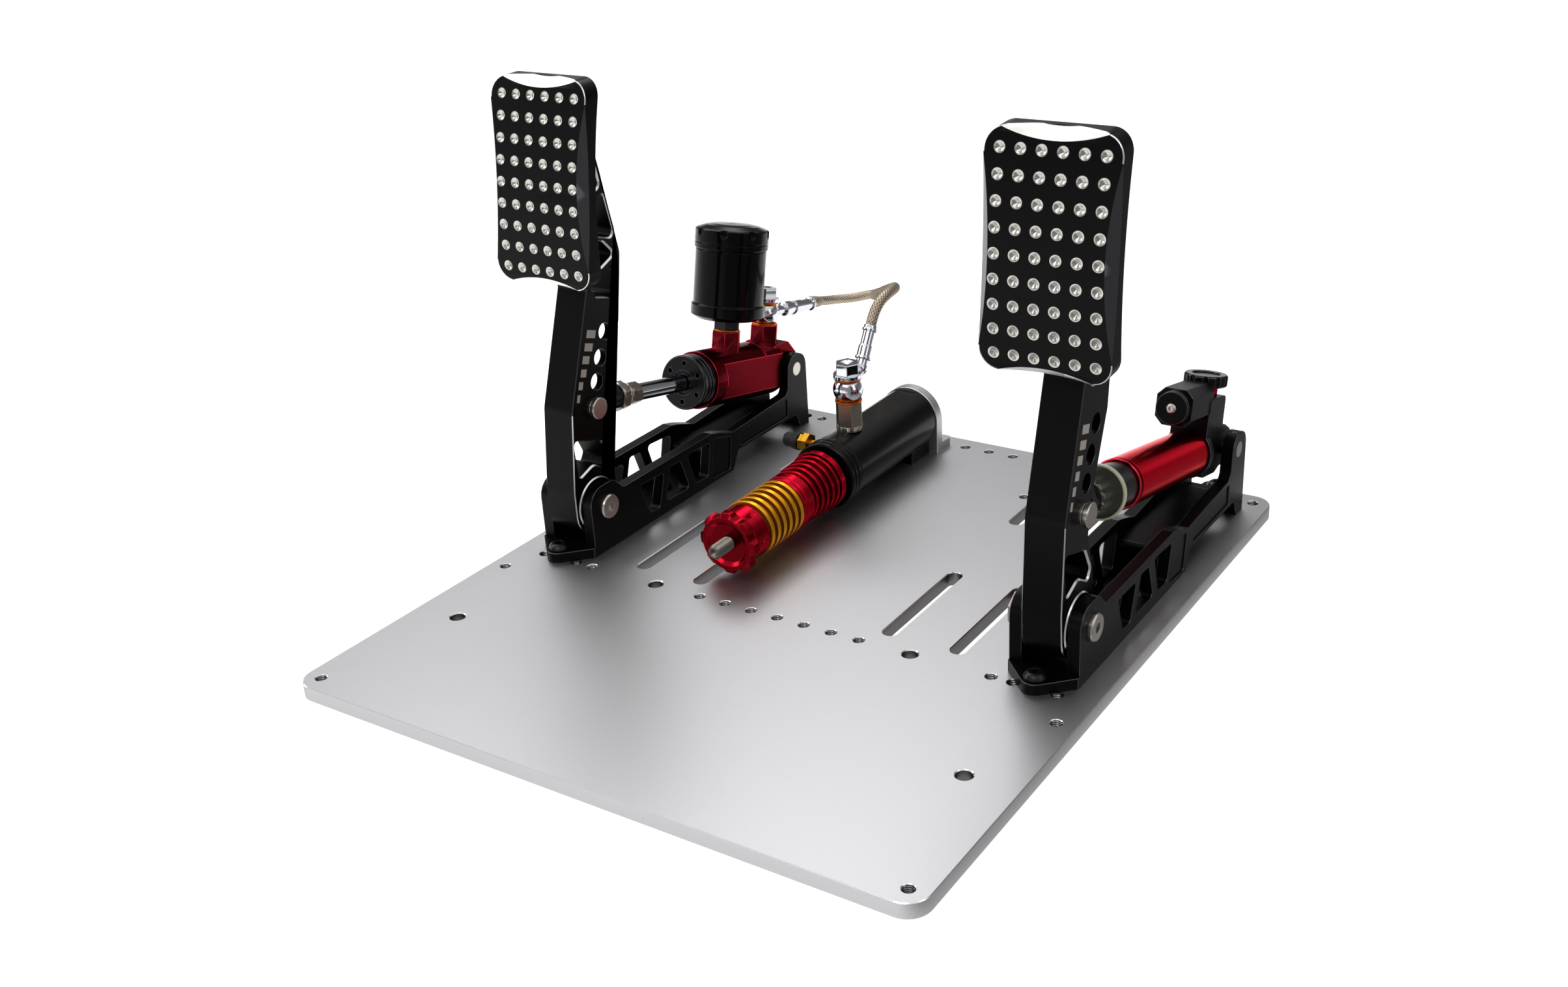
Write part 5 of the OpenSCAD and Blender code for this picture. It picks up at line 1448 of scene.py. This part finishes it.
@dataclass
class Slave(Assembly):
    """The slave cylinder, its spring stack and its hose fittings.

    Attributes:
        cuts: bodies shown as they are, with broken edges.
        bodies: bodies turned about the cylinder's axis.
        gold: the gold disc springs.
        red: the red discs on the piston.
        knob: profile of the preload knob.
        lobe_r: radius of the circles that cut its rim.
        lobe_at: distance of their centres from the axis.
        tube_y: front and rear end of the tube.
        tube_r: outer and inner radius of the tube.
        flat_y: where the flat behind the port starts.
        rod_r: radius of the threaded rod.
        rod_pitch: its thread's pitch.
        rod_ridge: height of its thread.
        tip_r: radius of its tip, which widens to the thread.
        socket: radius and depth of the socket in its tip.
        rod_tip: y of its front end.
        rod_thread: y where the shown thread ends.
        rod_end: y of its rear end.
    """

    cuts: tuple[Cut, ...] = (
        Cut("red_sleeve", RED), Cut("slave_piston", RED), Cut("slave_saddle", BLACK, 0.3, BLACK_EDGE_HIGHLIGHT),
        Cut("slave_bracket", PLATE, 0.5, BRIGHT), Cut("hex_adapter", BRUSHED, 0.5),
        Cut("slave_washers", COPPER, 0.25), Cut("slave_banjo", CHROME), Cut("slave_banjo_bolt", CHROME, 0.4),
        Cut("bleed_nipple", BRASS, 0.4), Cut("nipple_cap", RUBBER, 0.4),
    )
    bodies: tuple[Turned, ...] = (
        Turned("slave_collar", "slave_collar_shown", BLACK_TURNED, 0.3,
               ((98.5, 12.5), (98.5, 23.6), (99.2, 24.5), (101.6, 24.5), (102.3, 23.3), (102.9, 23.3),
                (103.6, 24.5), (106.0, 24.5), (106.7, 23.3), (107.3, 23.3), (108.0, 24.5), (110.4, 24.5),
                (111.1, 23.3), (112.0, 23.3), (112.0, 12.5))),
        Turned("red_collar", "red_collar_shown", RED, 0.3,
               ((44, 5.05), (44, 18.7), (44.8, 19.5), (47, 19.5), (47.6, 18.8), (48.6, 18.8), (49.2, 19.5),
                (56.2, 19.5), (57, 18.7), (57, 5.05))),
    )
    gold: Discs = Discs("gold_disc_springs", (GOLD, SHADED_GOLD_GAP), 2.0, 43.99, 6, 19.8, 19.8, 2.8, 0.42)
    red: Discs = Discs("red_discs", (RED, SHADED_RED_GAP), 57.0, 87.99, 5, 19.4, 21.4, 2.6, 0.36)
    knob: Profile = ((-22, 16.0), (-22, 18.6), (-20, 21.8), (-15, 21.8), (-14, 20.8), (-14, 5.1),
                     (-19.8, 5.1), (-19.8, 13.4))
    lobe_r: float = 6.8
    lobe_at: float = 25.8
    tube_y: tuple[float, float] = (112.0, 220.1)
    tube_r: tuple[float, float] = (23.5, 17.1)
    flat_y: float = 149.0
    rod_r: float = 5.0
    rod_pitch: float = 1.5
    rod_ridge: float = 0.8
    tip_r: float = 3.9
    socket: tuple[float, float] = (2.4, 4.0)
    rod_tip: float = -36.0
    rod_thread: float = -15.0
    rod_end: float = 231.0

    def lobes(self, y: np.ndarray, r: np.ndarray, a: np.ndarray) -> np.ndarray:
        """Cuts the knob's rim by eight circles of radius R at distance d.

        At an angle f from a circle's centre the rim is at most d cos f - sqrt(R^2 - (d sin f)^2).

        Args:
            y: heights of the points; not used.
            r: their radii.
            a: their angles.

        Returns:
            The new radii.
        """
        f = a % (math.pi / 4) - math.pi / 8
        inside = self.lobe_r ** 2 - (self.lobe_at * np.sin(f)) ** 2
        cut = np.where(inside > 0, self.lobe_at * np.cos(f) - np.sqrt(np.maximum(inside, 0)), 99.0)
        return np.minimum(r, cut)

    def flat(self, y: np.ndarray, r: np.ndarray, a: np.ndarray) -> np.ndarray:
        """Keeps the tube below a flat behind the port, where z is at most 23.5 cos 22.5 degrees.

        Args:
            y: heights of the points.
            r: their radii.
            a: their angles.

        Returns:
            The new radii.
        """
        high = np.where(y > self.flat_y, self.tube_r[0] * math.cos(math.pi / 8), 99.0)
        limit = np.where(np.sin(a) > 0.5, high / np.maximum(np.sin(a), 1e-6), 99.0)
        return np.minimum(np.broadcast_to(r, (len(y), a.size)), limit)

    def show_knob(self) -> None:
        """Shows the preload knob."""
        mesh = turned_mesh("preload_knob_shown", AT.slave_axis(), soften(self.knob, 0.4), 320, self.lobes)
        shade(mesh, 25)
        Piece("preload_knob_shown", mesh, [SHADED_RED_KNOB], ["preload_knob"]).weighted()

    def show_tube(self) -> None:
        """Shows the black tube, with rows of points along it that the flat needs."""
        (front, rear), (outer, inner) = self.tube_y, self.tube_r
        profile = soften([(front, inner), (front, outer), (rear, outer), (rear, inner)], 0.8)
        along = np.linspace(front + 1.5, rear - 1.1, 60)
        rim = [(y, outer) for y in sorted([*along, self.flat_y - 0.2, self.flat_y + 0.2])]
        cut = int(np.argmax(profile[:, 0] > 200))
        outline = np.vstack([profile[:cut], np.array(rim), profile[cut:]])
        mesh = turned_mesh("slave_tube_shown", AT.slave_axis(), outline, 160, self.flat)
        shade(mesh, 18)
        Piece("slave_tube_shown", mesh, [BLACK_TURNED], ["slave_tube"]).weighted()

    def show_rod(self) -> None:
        """Shows the rod, threaded near its tip.

        There r = 5 - 0.8 (1 - |2 f - 1|), where f is the fraction of y / 1.5 - a / 2 pi.
        """
        y = np.concatenate([np.linspace(self.rod_tip, self.rod_thread, 320),
                            np.linspace(self.rod_thread + 0.1, self.rod_end, 60)])[:, None]
        around = 64
        a = np.linspace(0, 2 * math.pi, around, endpoint=False)[None, :]
        f = (y / self.rod_pitch - a / (2 * math.pi)) % 1
        shown = smooth_step((self.rod_thread - y) / 1.0)
        r = self.rod_r - self.rod_ridge * (1 - np.abs(2 * f - 1)) * shown
        r = np.minimum(r, self.tip_r + (y - self.rod_tip) * 0.8)
        r = np.vstack([np.full((1, around), self.socket[0]), r, np.full((1, around), 0.3)])
        y = np.vstack([[self.rod_tip], y, [self.rod_end]])
        points = np.stack([r * np.cos(a), np.broadcast_to(y, r.shape), r * np.sin(a)], axis=-1)
        socket = points[:1].copy()
        socket[..., 1] = self.rod_tip + self.socket[1]
        centre = socket * np.array([0.05, 1, 0.05])
        points = np.concatenate([centre, socket, points])
        mesh = write_mesh("threaded_rod_shown", AT.slave_axis().place(points.reshape(-1, 3)),
                          grid_quads(len(points), around))
        Piece("threaded_rod_shown", mesh, [THREAD], ["threaded_rod"])

    def dress(self) -> None:
        """Makes the slave cylinder's pieces."""
        super().dress()
        for body in self.bodies:
            body.show(AT.slave_axis())
        pack = self.gold.show()
        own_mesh(pack.object)
        pack = self.red.show()
        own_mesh(pack.object)
        self.show_tube()
        self.show_knob()
        self.show_rod()


# Throttle damper


@dataclass
class Damper(Assembly):
    """The throttle's damper, its adjusters and its rod.

    Attributes:
        cuts: bodies shown as they are, with broken edges.
        rod: bodies turned about the rod's axis, from the clevis pin.
        tube: bodies turned about the damper's axis, from the rear pin.
        knob: profile of the adjuster knob.
        flutes: number of its flutes.
        flute: depth of a flute.
        flute_from: radius from which the knob is fluted.
    """

    cuts: tuple[Cut, ...] = (
        Cut("throttle_rod_end", OXIDE, 0.4), Cut("damper_rod", CHROME, 0.0),
        Cut("damper_block", BLACK, 0.4, BLACK_EDGE_HIGHLIGHT), Cut("damper_canister", BLACK, 0.4, BLACK_EDGE_HIGHLIGHT),
        Cut("canister_screw", STEEL, 0.2), Cut("dial_ring", RED),
        Cut("damper_dial", BLACK_TURNED, 0.3, BLACK_EDGE_HIGHLIGHT),
    )
    rod: tuple[Turned, ...] = (
        Turned("guard_ring", "guard_ring_shown", CLEAR, 0.5,
               ((30.3, 9.3), (30.3, 14.5), (32.8, 17.0), (51.6, 17.0), (51.6, 15.2), (33.3, 15.0),
                (32.1, 13.6), (32.1, 9.3))),
        Turned("guard_ring", "guard_ring_seat", ACETAL, 0.4,
               ((51.9, 5.9), (51.9, 15.7), (55.1, 15.7), (55.1, 5.9)), hides=False),
        Turned("guard_ring", "guard_ring_lip", LIP, 0.5,
               ((51.7, 15.6), (51.7, 17.0), (55.2, 17.0), (55.2, 15.6)), hides=False),
        Turned("spring_cup", "spring_cup_shown", BLACK_TURNED, 0.6,
               ((55.3, 0.3), (55.3, 13.2), (56.5, 14.4), (117.3, 14.4), (117.3, 11.4), (61.3, 11.4),
                (61.3, 0.3))),
    )
    tube: tuple[Turned, ...] = (
        # The bead takes the chamfers' brighter red, a painted highlight
        Turned("damper_tube", "damper_tube_bead", RED_EDGE_HIGHLIGHT, 0.25,
               ((-161.5, 14.6), (-161.5, 15.4), (-161.1, 16.0), (-160.3, 16.0), (-159.9, 15.5),
                (-159.9, 14.6))),
        Turned("damper_tube", "damper_tube_band", DEEP_RED, 0.2,
               ((-159.9, 14.6), (-159.9, 15.5), (-156.2, 15.5), (-156.2, 14.6)), hides=False),
        Turned("damper_tube", "damper_tube_shown", RED_SATIN, 0.3,
               ((-156.2, 14.6), (-156.2, 15.8), (-41.9, 15.8), (-41.9, 14.6)), 160, hides=False),
    )
    knob: Profile = ((32.7, 5.9), (32.7, 11.0), (33.9, 12.4), (51.7, 12.4), (51.7, 5.9))
    flutes: int = 12
    flute: float = 1.5
    flute_from: float = 10.9

    def fluted(self, y: np.ndarray, r: np.ndarray, a: np.ndarray) -> np.ndarray:
        """Cuts the knob's flutes: r = r - 1.5 (0.5 + 0.5 cos(12 a))^3 on its outer wall.

        Args:
            y: heights of the points.
            r: their radii.
            a: their angles.

        Returns:
            The new radii.
        """
        rim = np.broadcast_to(r, (len(y), a.size))
        dip = self.flute * (0.5 + 0.5 * np.cos(self.flutes * a)) ** 3
        return np.where(rim > self.flute_from, rim - dip, rim)

    def dress(self) -> None:
        """Makes the damper's pieces."""
        super().dress()
        at = AT.cylinder(Side.THROTTLE)
        knob = Turned("adjuster_knob", "adjuster_knob_shown", FLUTED, 0.6, self.knob, 240, shape=self.fluted)
        for body in (knob, *self.rod):
            body.show(AT.rod(Side.THROTTLE))
        for body in self.tube:
            body.show(at)
        self.spring("throttle_spring", at, "damper_rod_slide", 23.9)


# Brake hose


@dataclass
class Hose(Assembly):
    """The braided brake hose between the two ferrules.

    Attributes:
        diameter: of the braid's crests, in mm.
        strands: wire bundles of each family round the hose.
        relief: height of the bundles.
        around: steps round the hose.
        rows: steps along it.
        smoothing: passes that even out the route.
        route: points of the middle line in mm, from the master cylinder's ferrule to the slave cylinder's.
    """

    diameter: float = 8.0
    strands: int = 10
    relief: float = 0.3
    around: int = 64
    rows: int = 1360
    smoothing: int = 40
    route: tuple = (
        (-178, 277.55, 92.3), (-178.3, 282.6, 91.35), (-181.5, 292, 88.8), (-188, 303, 85), (-198, 313, 81),
        (-208, 323, 76), (-217, 334, 72), (-222, 348, 67), (-221, 362, 63), (-216, 375, 61), (-205, 385, 61),
        (-192, 390, 64), (-178, 390, 68), (-166, 383, 74), (-156, 373, 80), (-149, 361, 84), (-144, 348, 88),
        (-140, 334, 92), (-135, 320, 95), (-131, 307, 99), (-126, 293, 103), (-120, 280, 107),
        (-113, 268, 111), (-105, 256, 116), (-96, 246, 121), (-86, 238, 127), (-75, 229, 133),
        (-66, 219, 138), (-60, 207, 141), (-57, 192.4, 141.8), (-57, 182.7, 139.4), (-57, 175.6, 134.8),
        (-57, 171.3, 129.8), (-57, 169, 126),
    )

    def line(self) -> np.ndarray:
        """Returns the smooth middle line, evenly spaced.

        Between route points p1 and p2 it is the cubic with the tangents (p2 - p0) / 2 and (p3 - p1) / 2.
        """
        p = np.array(self.route, float)
        p = np.vstack([2 * p[0] - p[1], p, 2 * p[-1] - p[-2]])
        t = np.linspace(0, 1, 48, endpoint=False)[None, :, None]
        p0, p1, p2, p3 = (p[i:len(p) - 3 + i, None, :] for i in range(4))
        curve = 0.5 * (2 * p1 + (p2 - p0) * t + (2 * p0 - 5 * p1 + 4 * p2 - p3) * t ** 2
                       + (3 * p1 - p0 - 3 * p2 + p3) * t ** 3)
        curve = np.vstack([curve.reshape(-1, 3), p[-2]])
        for _ in range(self.smoothing):
            curve[1:-1] = 0.25 * curve[:-2] + 0.5 * curve[1:-1] + 0.25 * curve[2:]
        length = np.concatenate([[0], np.cumsum(np.linalg.norm(np.diff(curve, axis=0), axis=1))])
        even = np.linspace(0, length[-1], self.rows)
        return np.stack([np.interp(even, length, curve[:, k]) for k in range(3)], axis=1)

    def dress(self) -> None:
        """Makes the hose.

        Round the line, at angle 2 pi u and distance v, two families of wire bundles run at A = n u + v / p
        and B = n u - v / p. The radius adds relief * (w |sin pi A| + (1 - w) |sin pi B|), where
        w = 0.5 + 0.5 sin(pi A) sin(pi B) lets them pass over and under each other.
        """
        line = self.line()
        step = np.gradient(line, axis=0)
        ahead = step / np.linalg.norm(step, axis=1)[:, None]
        side = np.cross(ahead, [0, 0, 1.0])
        side /= np.linalg.norm(side, axis=1)[:, None]
        up = np.cross(side, ahead)
        length = float(np.linalg.norm(np.diff(line, axis=0), axis=1).sum())
        v = np.linspace(0, length, self.rows)[:, None]
        u = np.linspace(0, 1, self.around, endpoint=False)[None, :]
        pitch = math.pi * self.diameter / self.strands * 1.15
        a = np.pi * (self.strands * u + v / pitch)
        b = np.pi * (self.strands * u - v / pitch)
        over = 0.5 + 0.5 * np.sin(a) * np.sin(b)
        lift = over * np.abs(np.sin(a)) + (1 - over) * np.abs(np.sin(b))
        r = self.diameter / 2 - self.relief + self.relief * lift
        # The weave is low between the bundles and high on their crests; the braid's colour follows it as
        # painted shade and painted highlight
        weave = smooth_step(lift * 1.5 - 0.25)
        angle = 2 * np.pi * u
        points = (line[:, None, :] + (r * np.cos(angle))[..., None] * side[:, None, :]
                  + (r * np.sin(angle))[..., None] * up[:, None, :])
        mesh = write_mesh("brake_hose_shown", points.reshape(-1, 3), grid_quads(self.rows, self.around))
        store(mesh, "weave", weave)
        piece = Piece("brake_hose_shown", mesh, [BRAID], ["brake_hose"])
        log.info("hose length %.1f mm", length)


# Light, floor and camera


@dataclass(frozen=True)
class Softbox:
    """A rectangular lamp.

    Attributes:
        name: the lamp's name.
        place: where it stands, in metres.
        aim: the point it faces.
        size: its two sides in metres.
        watts: its power.
    """

    name: str
    place: tuple[float, float, float]
    aim: tuple[float, float, float]
    size: tuple[float, float]
    watts: float

    def build(self) -> None:
        """Adds the lamp to the scene."""
        lamp = bpy.data.lights.new(self.name, "AREA")
        lamp.shape = "RECTANGLE"
        lamp.size, lamp.size_y = self.size
        lamp.energy = self.watts
        made = add_object(self.name, lamp)
        made.location = self.place
        made.rotation_euler = (Vector(self.aim) - Vector(self.place)).to_track_quat("-Z", "Y").to_euler()


@dataclass
class Studio:
    """White surroundings with a few softboxes.

    Attributes:
        ambient: strength of the even light on the part.
        low: what metal sees just above the floor.
        low_right: share of it that is left on the right, where the surroundings are dark.
        dark: what metal sees at mid height behind the part.
        front: what it sees at mid height in front of the part.
        ceiling: what it sees high up.
        floor_r: radius of the floor in mm.
        floor_z: its height in mm, just under the plate.
        floor_colour: how much light the floor's paint sends back.
        floor_glow: what is added where the floor is seen, so that it is close to white.
        reflection_shade: how much darker the floor right of the part is to glossy rays, a painted dark
            reflection; the camera sees it white.
        softboxes: the lamps.
    """

    ambient: float = 0.3
    low: float = 0.95
    low_right: float = 0.25
    dark: float = 0.16
    front: float = 0.3
    ceiling: float = 0.85
    floor_r: float = 4000.0
    floor_z: float = -0.3
    floor_colour: float = 0.8
    floor_glow: float = 0.86
    reflection_shade: float = 0.8
    softboxes: tuple[Softbox, ...] = (
        Softbox("softbox_top", (-0.75, 0.75, 1.3), (0.0, -0.1, 0.05), (1.3, 1.0), 9),
        Softbox("softbox_left", (-1.5, -0.5, 0.9), (0.0, 0.0, 0.1), (0.5, 1.3), 8),
        Softbox("softbox_front", (0.2, -1.7, 1.6), (0.0, 0.0, 0.1), (1.4, 0.5), 8),
        Softbox("softbox_right", (1.6, -0.1, 0.7), (0.1, 0.0, 0.1), (0.6, 1.2), 2.5),
    )

    def world(self) -> None:
        """White where the camera or glass looks at the backdrop; a mirror sees it bright near the floor and
        overhead and dimmer between, and the rest is plain grey light.
        """
        made = bpy.data.worlds.new("surroundings")
        bpy.context.scene.world = made
        tree = empty_tree(made)
        eased = {"interpolation_type": "SMOOTHSTEP"}
        path = add_node(tree, "ShaderNodeLightPath").outputs
        way = add_node(tree, "ShaderNodeTexCoord").outputs["Generated"]
        turn = add_node(tree, "ShaderNodeSeparateXYZ", {0: way}).outputs
        low = add_node(tree, "ShaderNodeMapRange", {
            0: turn["Z"], "From Min": 0.05, "From Max": 0.2, "To Min": self.low, "To Max": 0.0,
        }, **eased)
        aside = add_node(tree, "ShaderNodeMapRange", {
            0: turn["X"], "From Min": 0.1, "From Max": 0.5, "To Min": 1.0, "To Max": self.low_right,
        }, **eased)
        low = add_node(tree, "ShaderNodeMath", {0: low, 1: aside}, operation="MULTIPLY")
        ceiling = add_node(tree, "ShaderNodeMapRange", {
            0: turn["Z"], "From Min": 0.3, "From Max": 0.68, "To Min": 0.0, "To Max": self.ceiling,
        }, **eased)
        ahead = add_node(tree, "ShaderNodeMapRange", {
            0: turn["Y"], "From Min": 0.3, "From Max": -0.6, "To Min": self.dark, "To Max": self.front,
        }, **eased)
        both = add_node(tree, "ShaderNodeMath", {0: low, 1: ceiling}, operation="ADD")
        mirror = add_node(tree, "ShaderNodeMath", {0: both, 1: ahead}, operation="MAXIMUM")
        soft = add_node(tree, "ShaderNodeMix", {
            0: path["Is Glossy Ray"], 2: self.ambient, 3: mirror,
        }, data_type="FLOAT")
        seen = add_node(tree, "ShaderNodeMath", {
            0: path["Is Camera Ray"], 1: path["Is Transmission Ray"],
        }, operation="MAXIMUM")
        level = add_node(tree, "ShaderNodeMix", {0: seen, 2: soft, 3: 1.0},
                         data_type="FLOAT")
        glow = add_node(tree, "ShaderNodeBackground", {"Color": (1, 1, 1, 1), "Strength": level})
        add_node(tree, "ShaderNodeOutputWorld", {"Surface": glow})

    def paint_coat(self) -> bpy.types.Material:
        """Returns the floor's material: matt white studio paint that glows where it is seen, with a painted
        dark reflection right of the part.
        """
        made = bpy.data.materials.new("matt_white_studio_paint")
        tree = empty_tree(made)
        path = add_node(tree, "ShaderNodeLightPath").outputs
        seen = add_node(tree, "ShaderNodeMath", {
            0: path["Is Camera Ray"], 1: path["Is Glossy Ray"],
        }, operation="MAXIMUM")
        seen = add_node(tree, "ShaderNodeMath", {
            0: seen, 1: path["Is Transmission Ray"],
        }, operation="MAXIMUM")
        place = add_node(tree, "ShaderNodeTexCoord").outputs["Object"]
        turn = add_node(tree, "ShaderNodeSeparateXYZ", {0: place}).outputs
        # Metal that looks at the floor right of the part sees it darkened there, a painted dark reflection,
        # while the camera sees it white
        reflection_shade = add_node(tree, "ShaderNodeMapRange", {
            0: turn["X"], "From Min": 0.2, "From Max": 0.24, "To Min": 0.0, "To Max": self.reflection_shade,
        }, interpolation_type="SMOOTHSTEP")
        hidden = add_node(tree, "ShaderNodeMath", {0: reflection_shade, 1: path["Is Glossy Ray"]},
                          operation="MULTIPLY")
        bare = add_node(tree, "ShaderNodeMath", {0: 1.0, 1: hidden}, operation="SUBTRACT")
        tint = add_node(tree, "ShaderNodeMath", {0: bare, 1: self.floor_colour}, operation="MULTIPLY")
        matt = add_node(tree, "ShaderNodeBsdfDiffuse", {"Color": tint})
        power = add_node(tree, "ShaderNodeMath", {0: seen, 1: self.floor_glow}, operation="MULTIPLY")
        power = add_node(tree, "ShaderNodeMath", {0: power, 1: bare}, operation="MULTIPLY")
        glow = add_node(tree, "ShaderNodeEmission", {"Color": (1, 1, 1, 1), "Strength": power})
        both = add_node(tree, "ShaderNodeAddShader", {0: matt, 1: glow})
        add_node(tree, "ShaderNodeOutputMaterial", {"Surface": both})
        return made

    def floor(self) -> None:
        """Adds a round pale floor that is close to white where it is seen and keeps a faint shadow."""
        corners = 64
        a = np.linspace(0, 2 * math.pi, corners, endpoint=False)
        rim = np.stack([self.floor_r * np.cos(a), self.floor_r * np.sin(a), np.full(corners, self.floor_z)],
                       axis=-1)
        mesh = bpy.data.meshes.new("floor")
        mesh.from_pydata((rim * MM).tolist(), [], [list(range(corners))])
        mesh.materials.append(self.paint_coat())
        made = add_object("floor", mesh)
        made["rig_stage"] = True

    def build(self) -> None:
        """Makes the surroundings."""
        self.world()
        self.floor()
        for box in self.softboxes:
            box.build()
        bpy.context.scene.view_settings.view_transform = "Standard"


@dataclass(frozen=True)
class PhotoCamera:
    """The photograph's camera, fitted to the plate's edges and hole rows.

    Attributes:
        place: the lens, in metres.
        right: direction of the picture's right in the row frame.
        down: direction of the picture's bottom.
        lens: focal length in mm on a 36 mm wide sensor.
    """

    place: tuple[float, float, float] = (0.5337, -0.8039, 0.5212)
    right: tuple[float, float, float] = (0.834116, 0.5491, -0.052347)
    down: tuple[float, float, float] = (0.190826, -0.376308, -0.90663)
    lens: float = 38.417

    def build(self) -> None:
        """Adds the camera and makes it the scene's."""
        data = bpy.data.cameras.new("camera")
        data.lens = self.lens
        data.sensor_width = 36.0
        data.clip_start = 0.01
        data.clip_end = 20.0
        x = unit(self.right)
        y = -unit(self.down)
        z = np.cross(x, y)
        turn = Matrix(np.column_stack([x, y, z]).tolist())
        made = add_object("camera", data)
        made.matrix_world = Matrix.Translation(self.place) @ turn.to_4x4()
        bpy.context.scene.camera = made


def save_bounds(record: dict, key: str) -> None:
    """Adds the shown object's lowest and highest corner to a dict of sizes."""
    low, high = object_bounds()
    record[key] = {"low": list(low), "high": list(high)}


def main() -> None:
    """Builds the scene and reports each piece."""
    logging.basicConfig(level=logging.INFO, format="%(name)s: %(message)s")
    sizes: dict = {}
    save_bounds(sizes, "loaded")
    PhotoCamera().build()
    Studio().build()
    groups: list[Assembly] = [Hose(), Plate(), Pedal(Side.BRAKE), Pedal(Side.THROTTLE), Fasteners(),
                              Master(), Slave(), Damper()]
    for group in groups:
        first = len(Piece.made)
        group.dress()
        for piece in Piece.made[first:]:
            shown = piece.object
            log.info("%s: %s, %d faces", type(group).__name__, shown.name, len(shown.data.polygons))
    save_bounds(sizes, "finished")


if __name__ == "__main__":
    main()
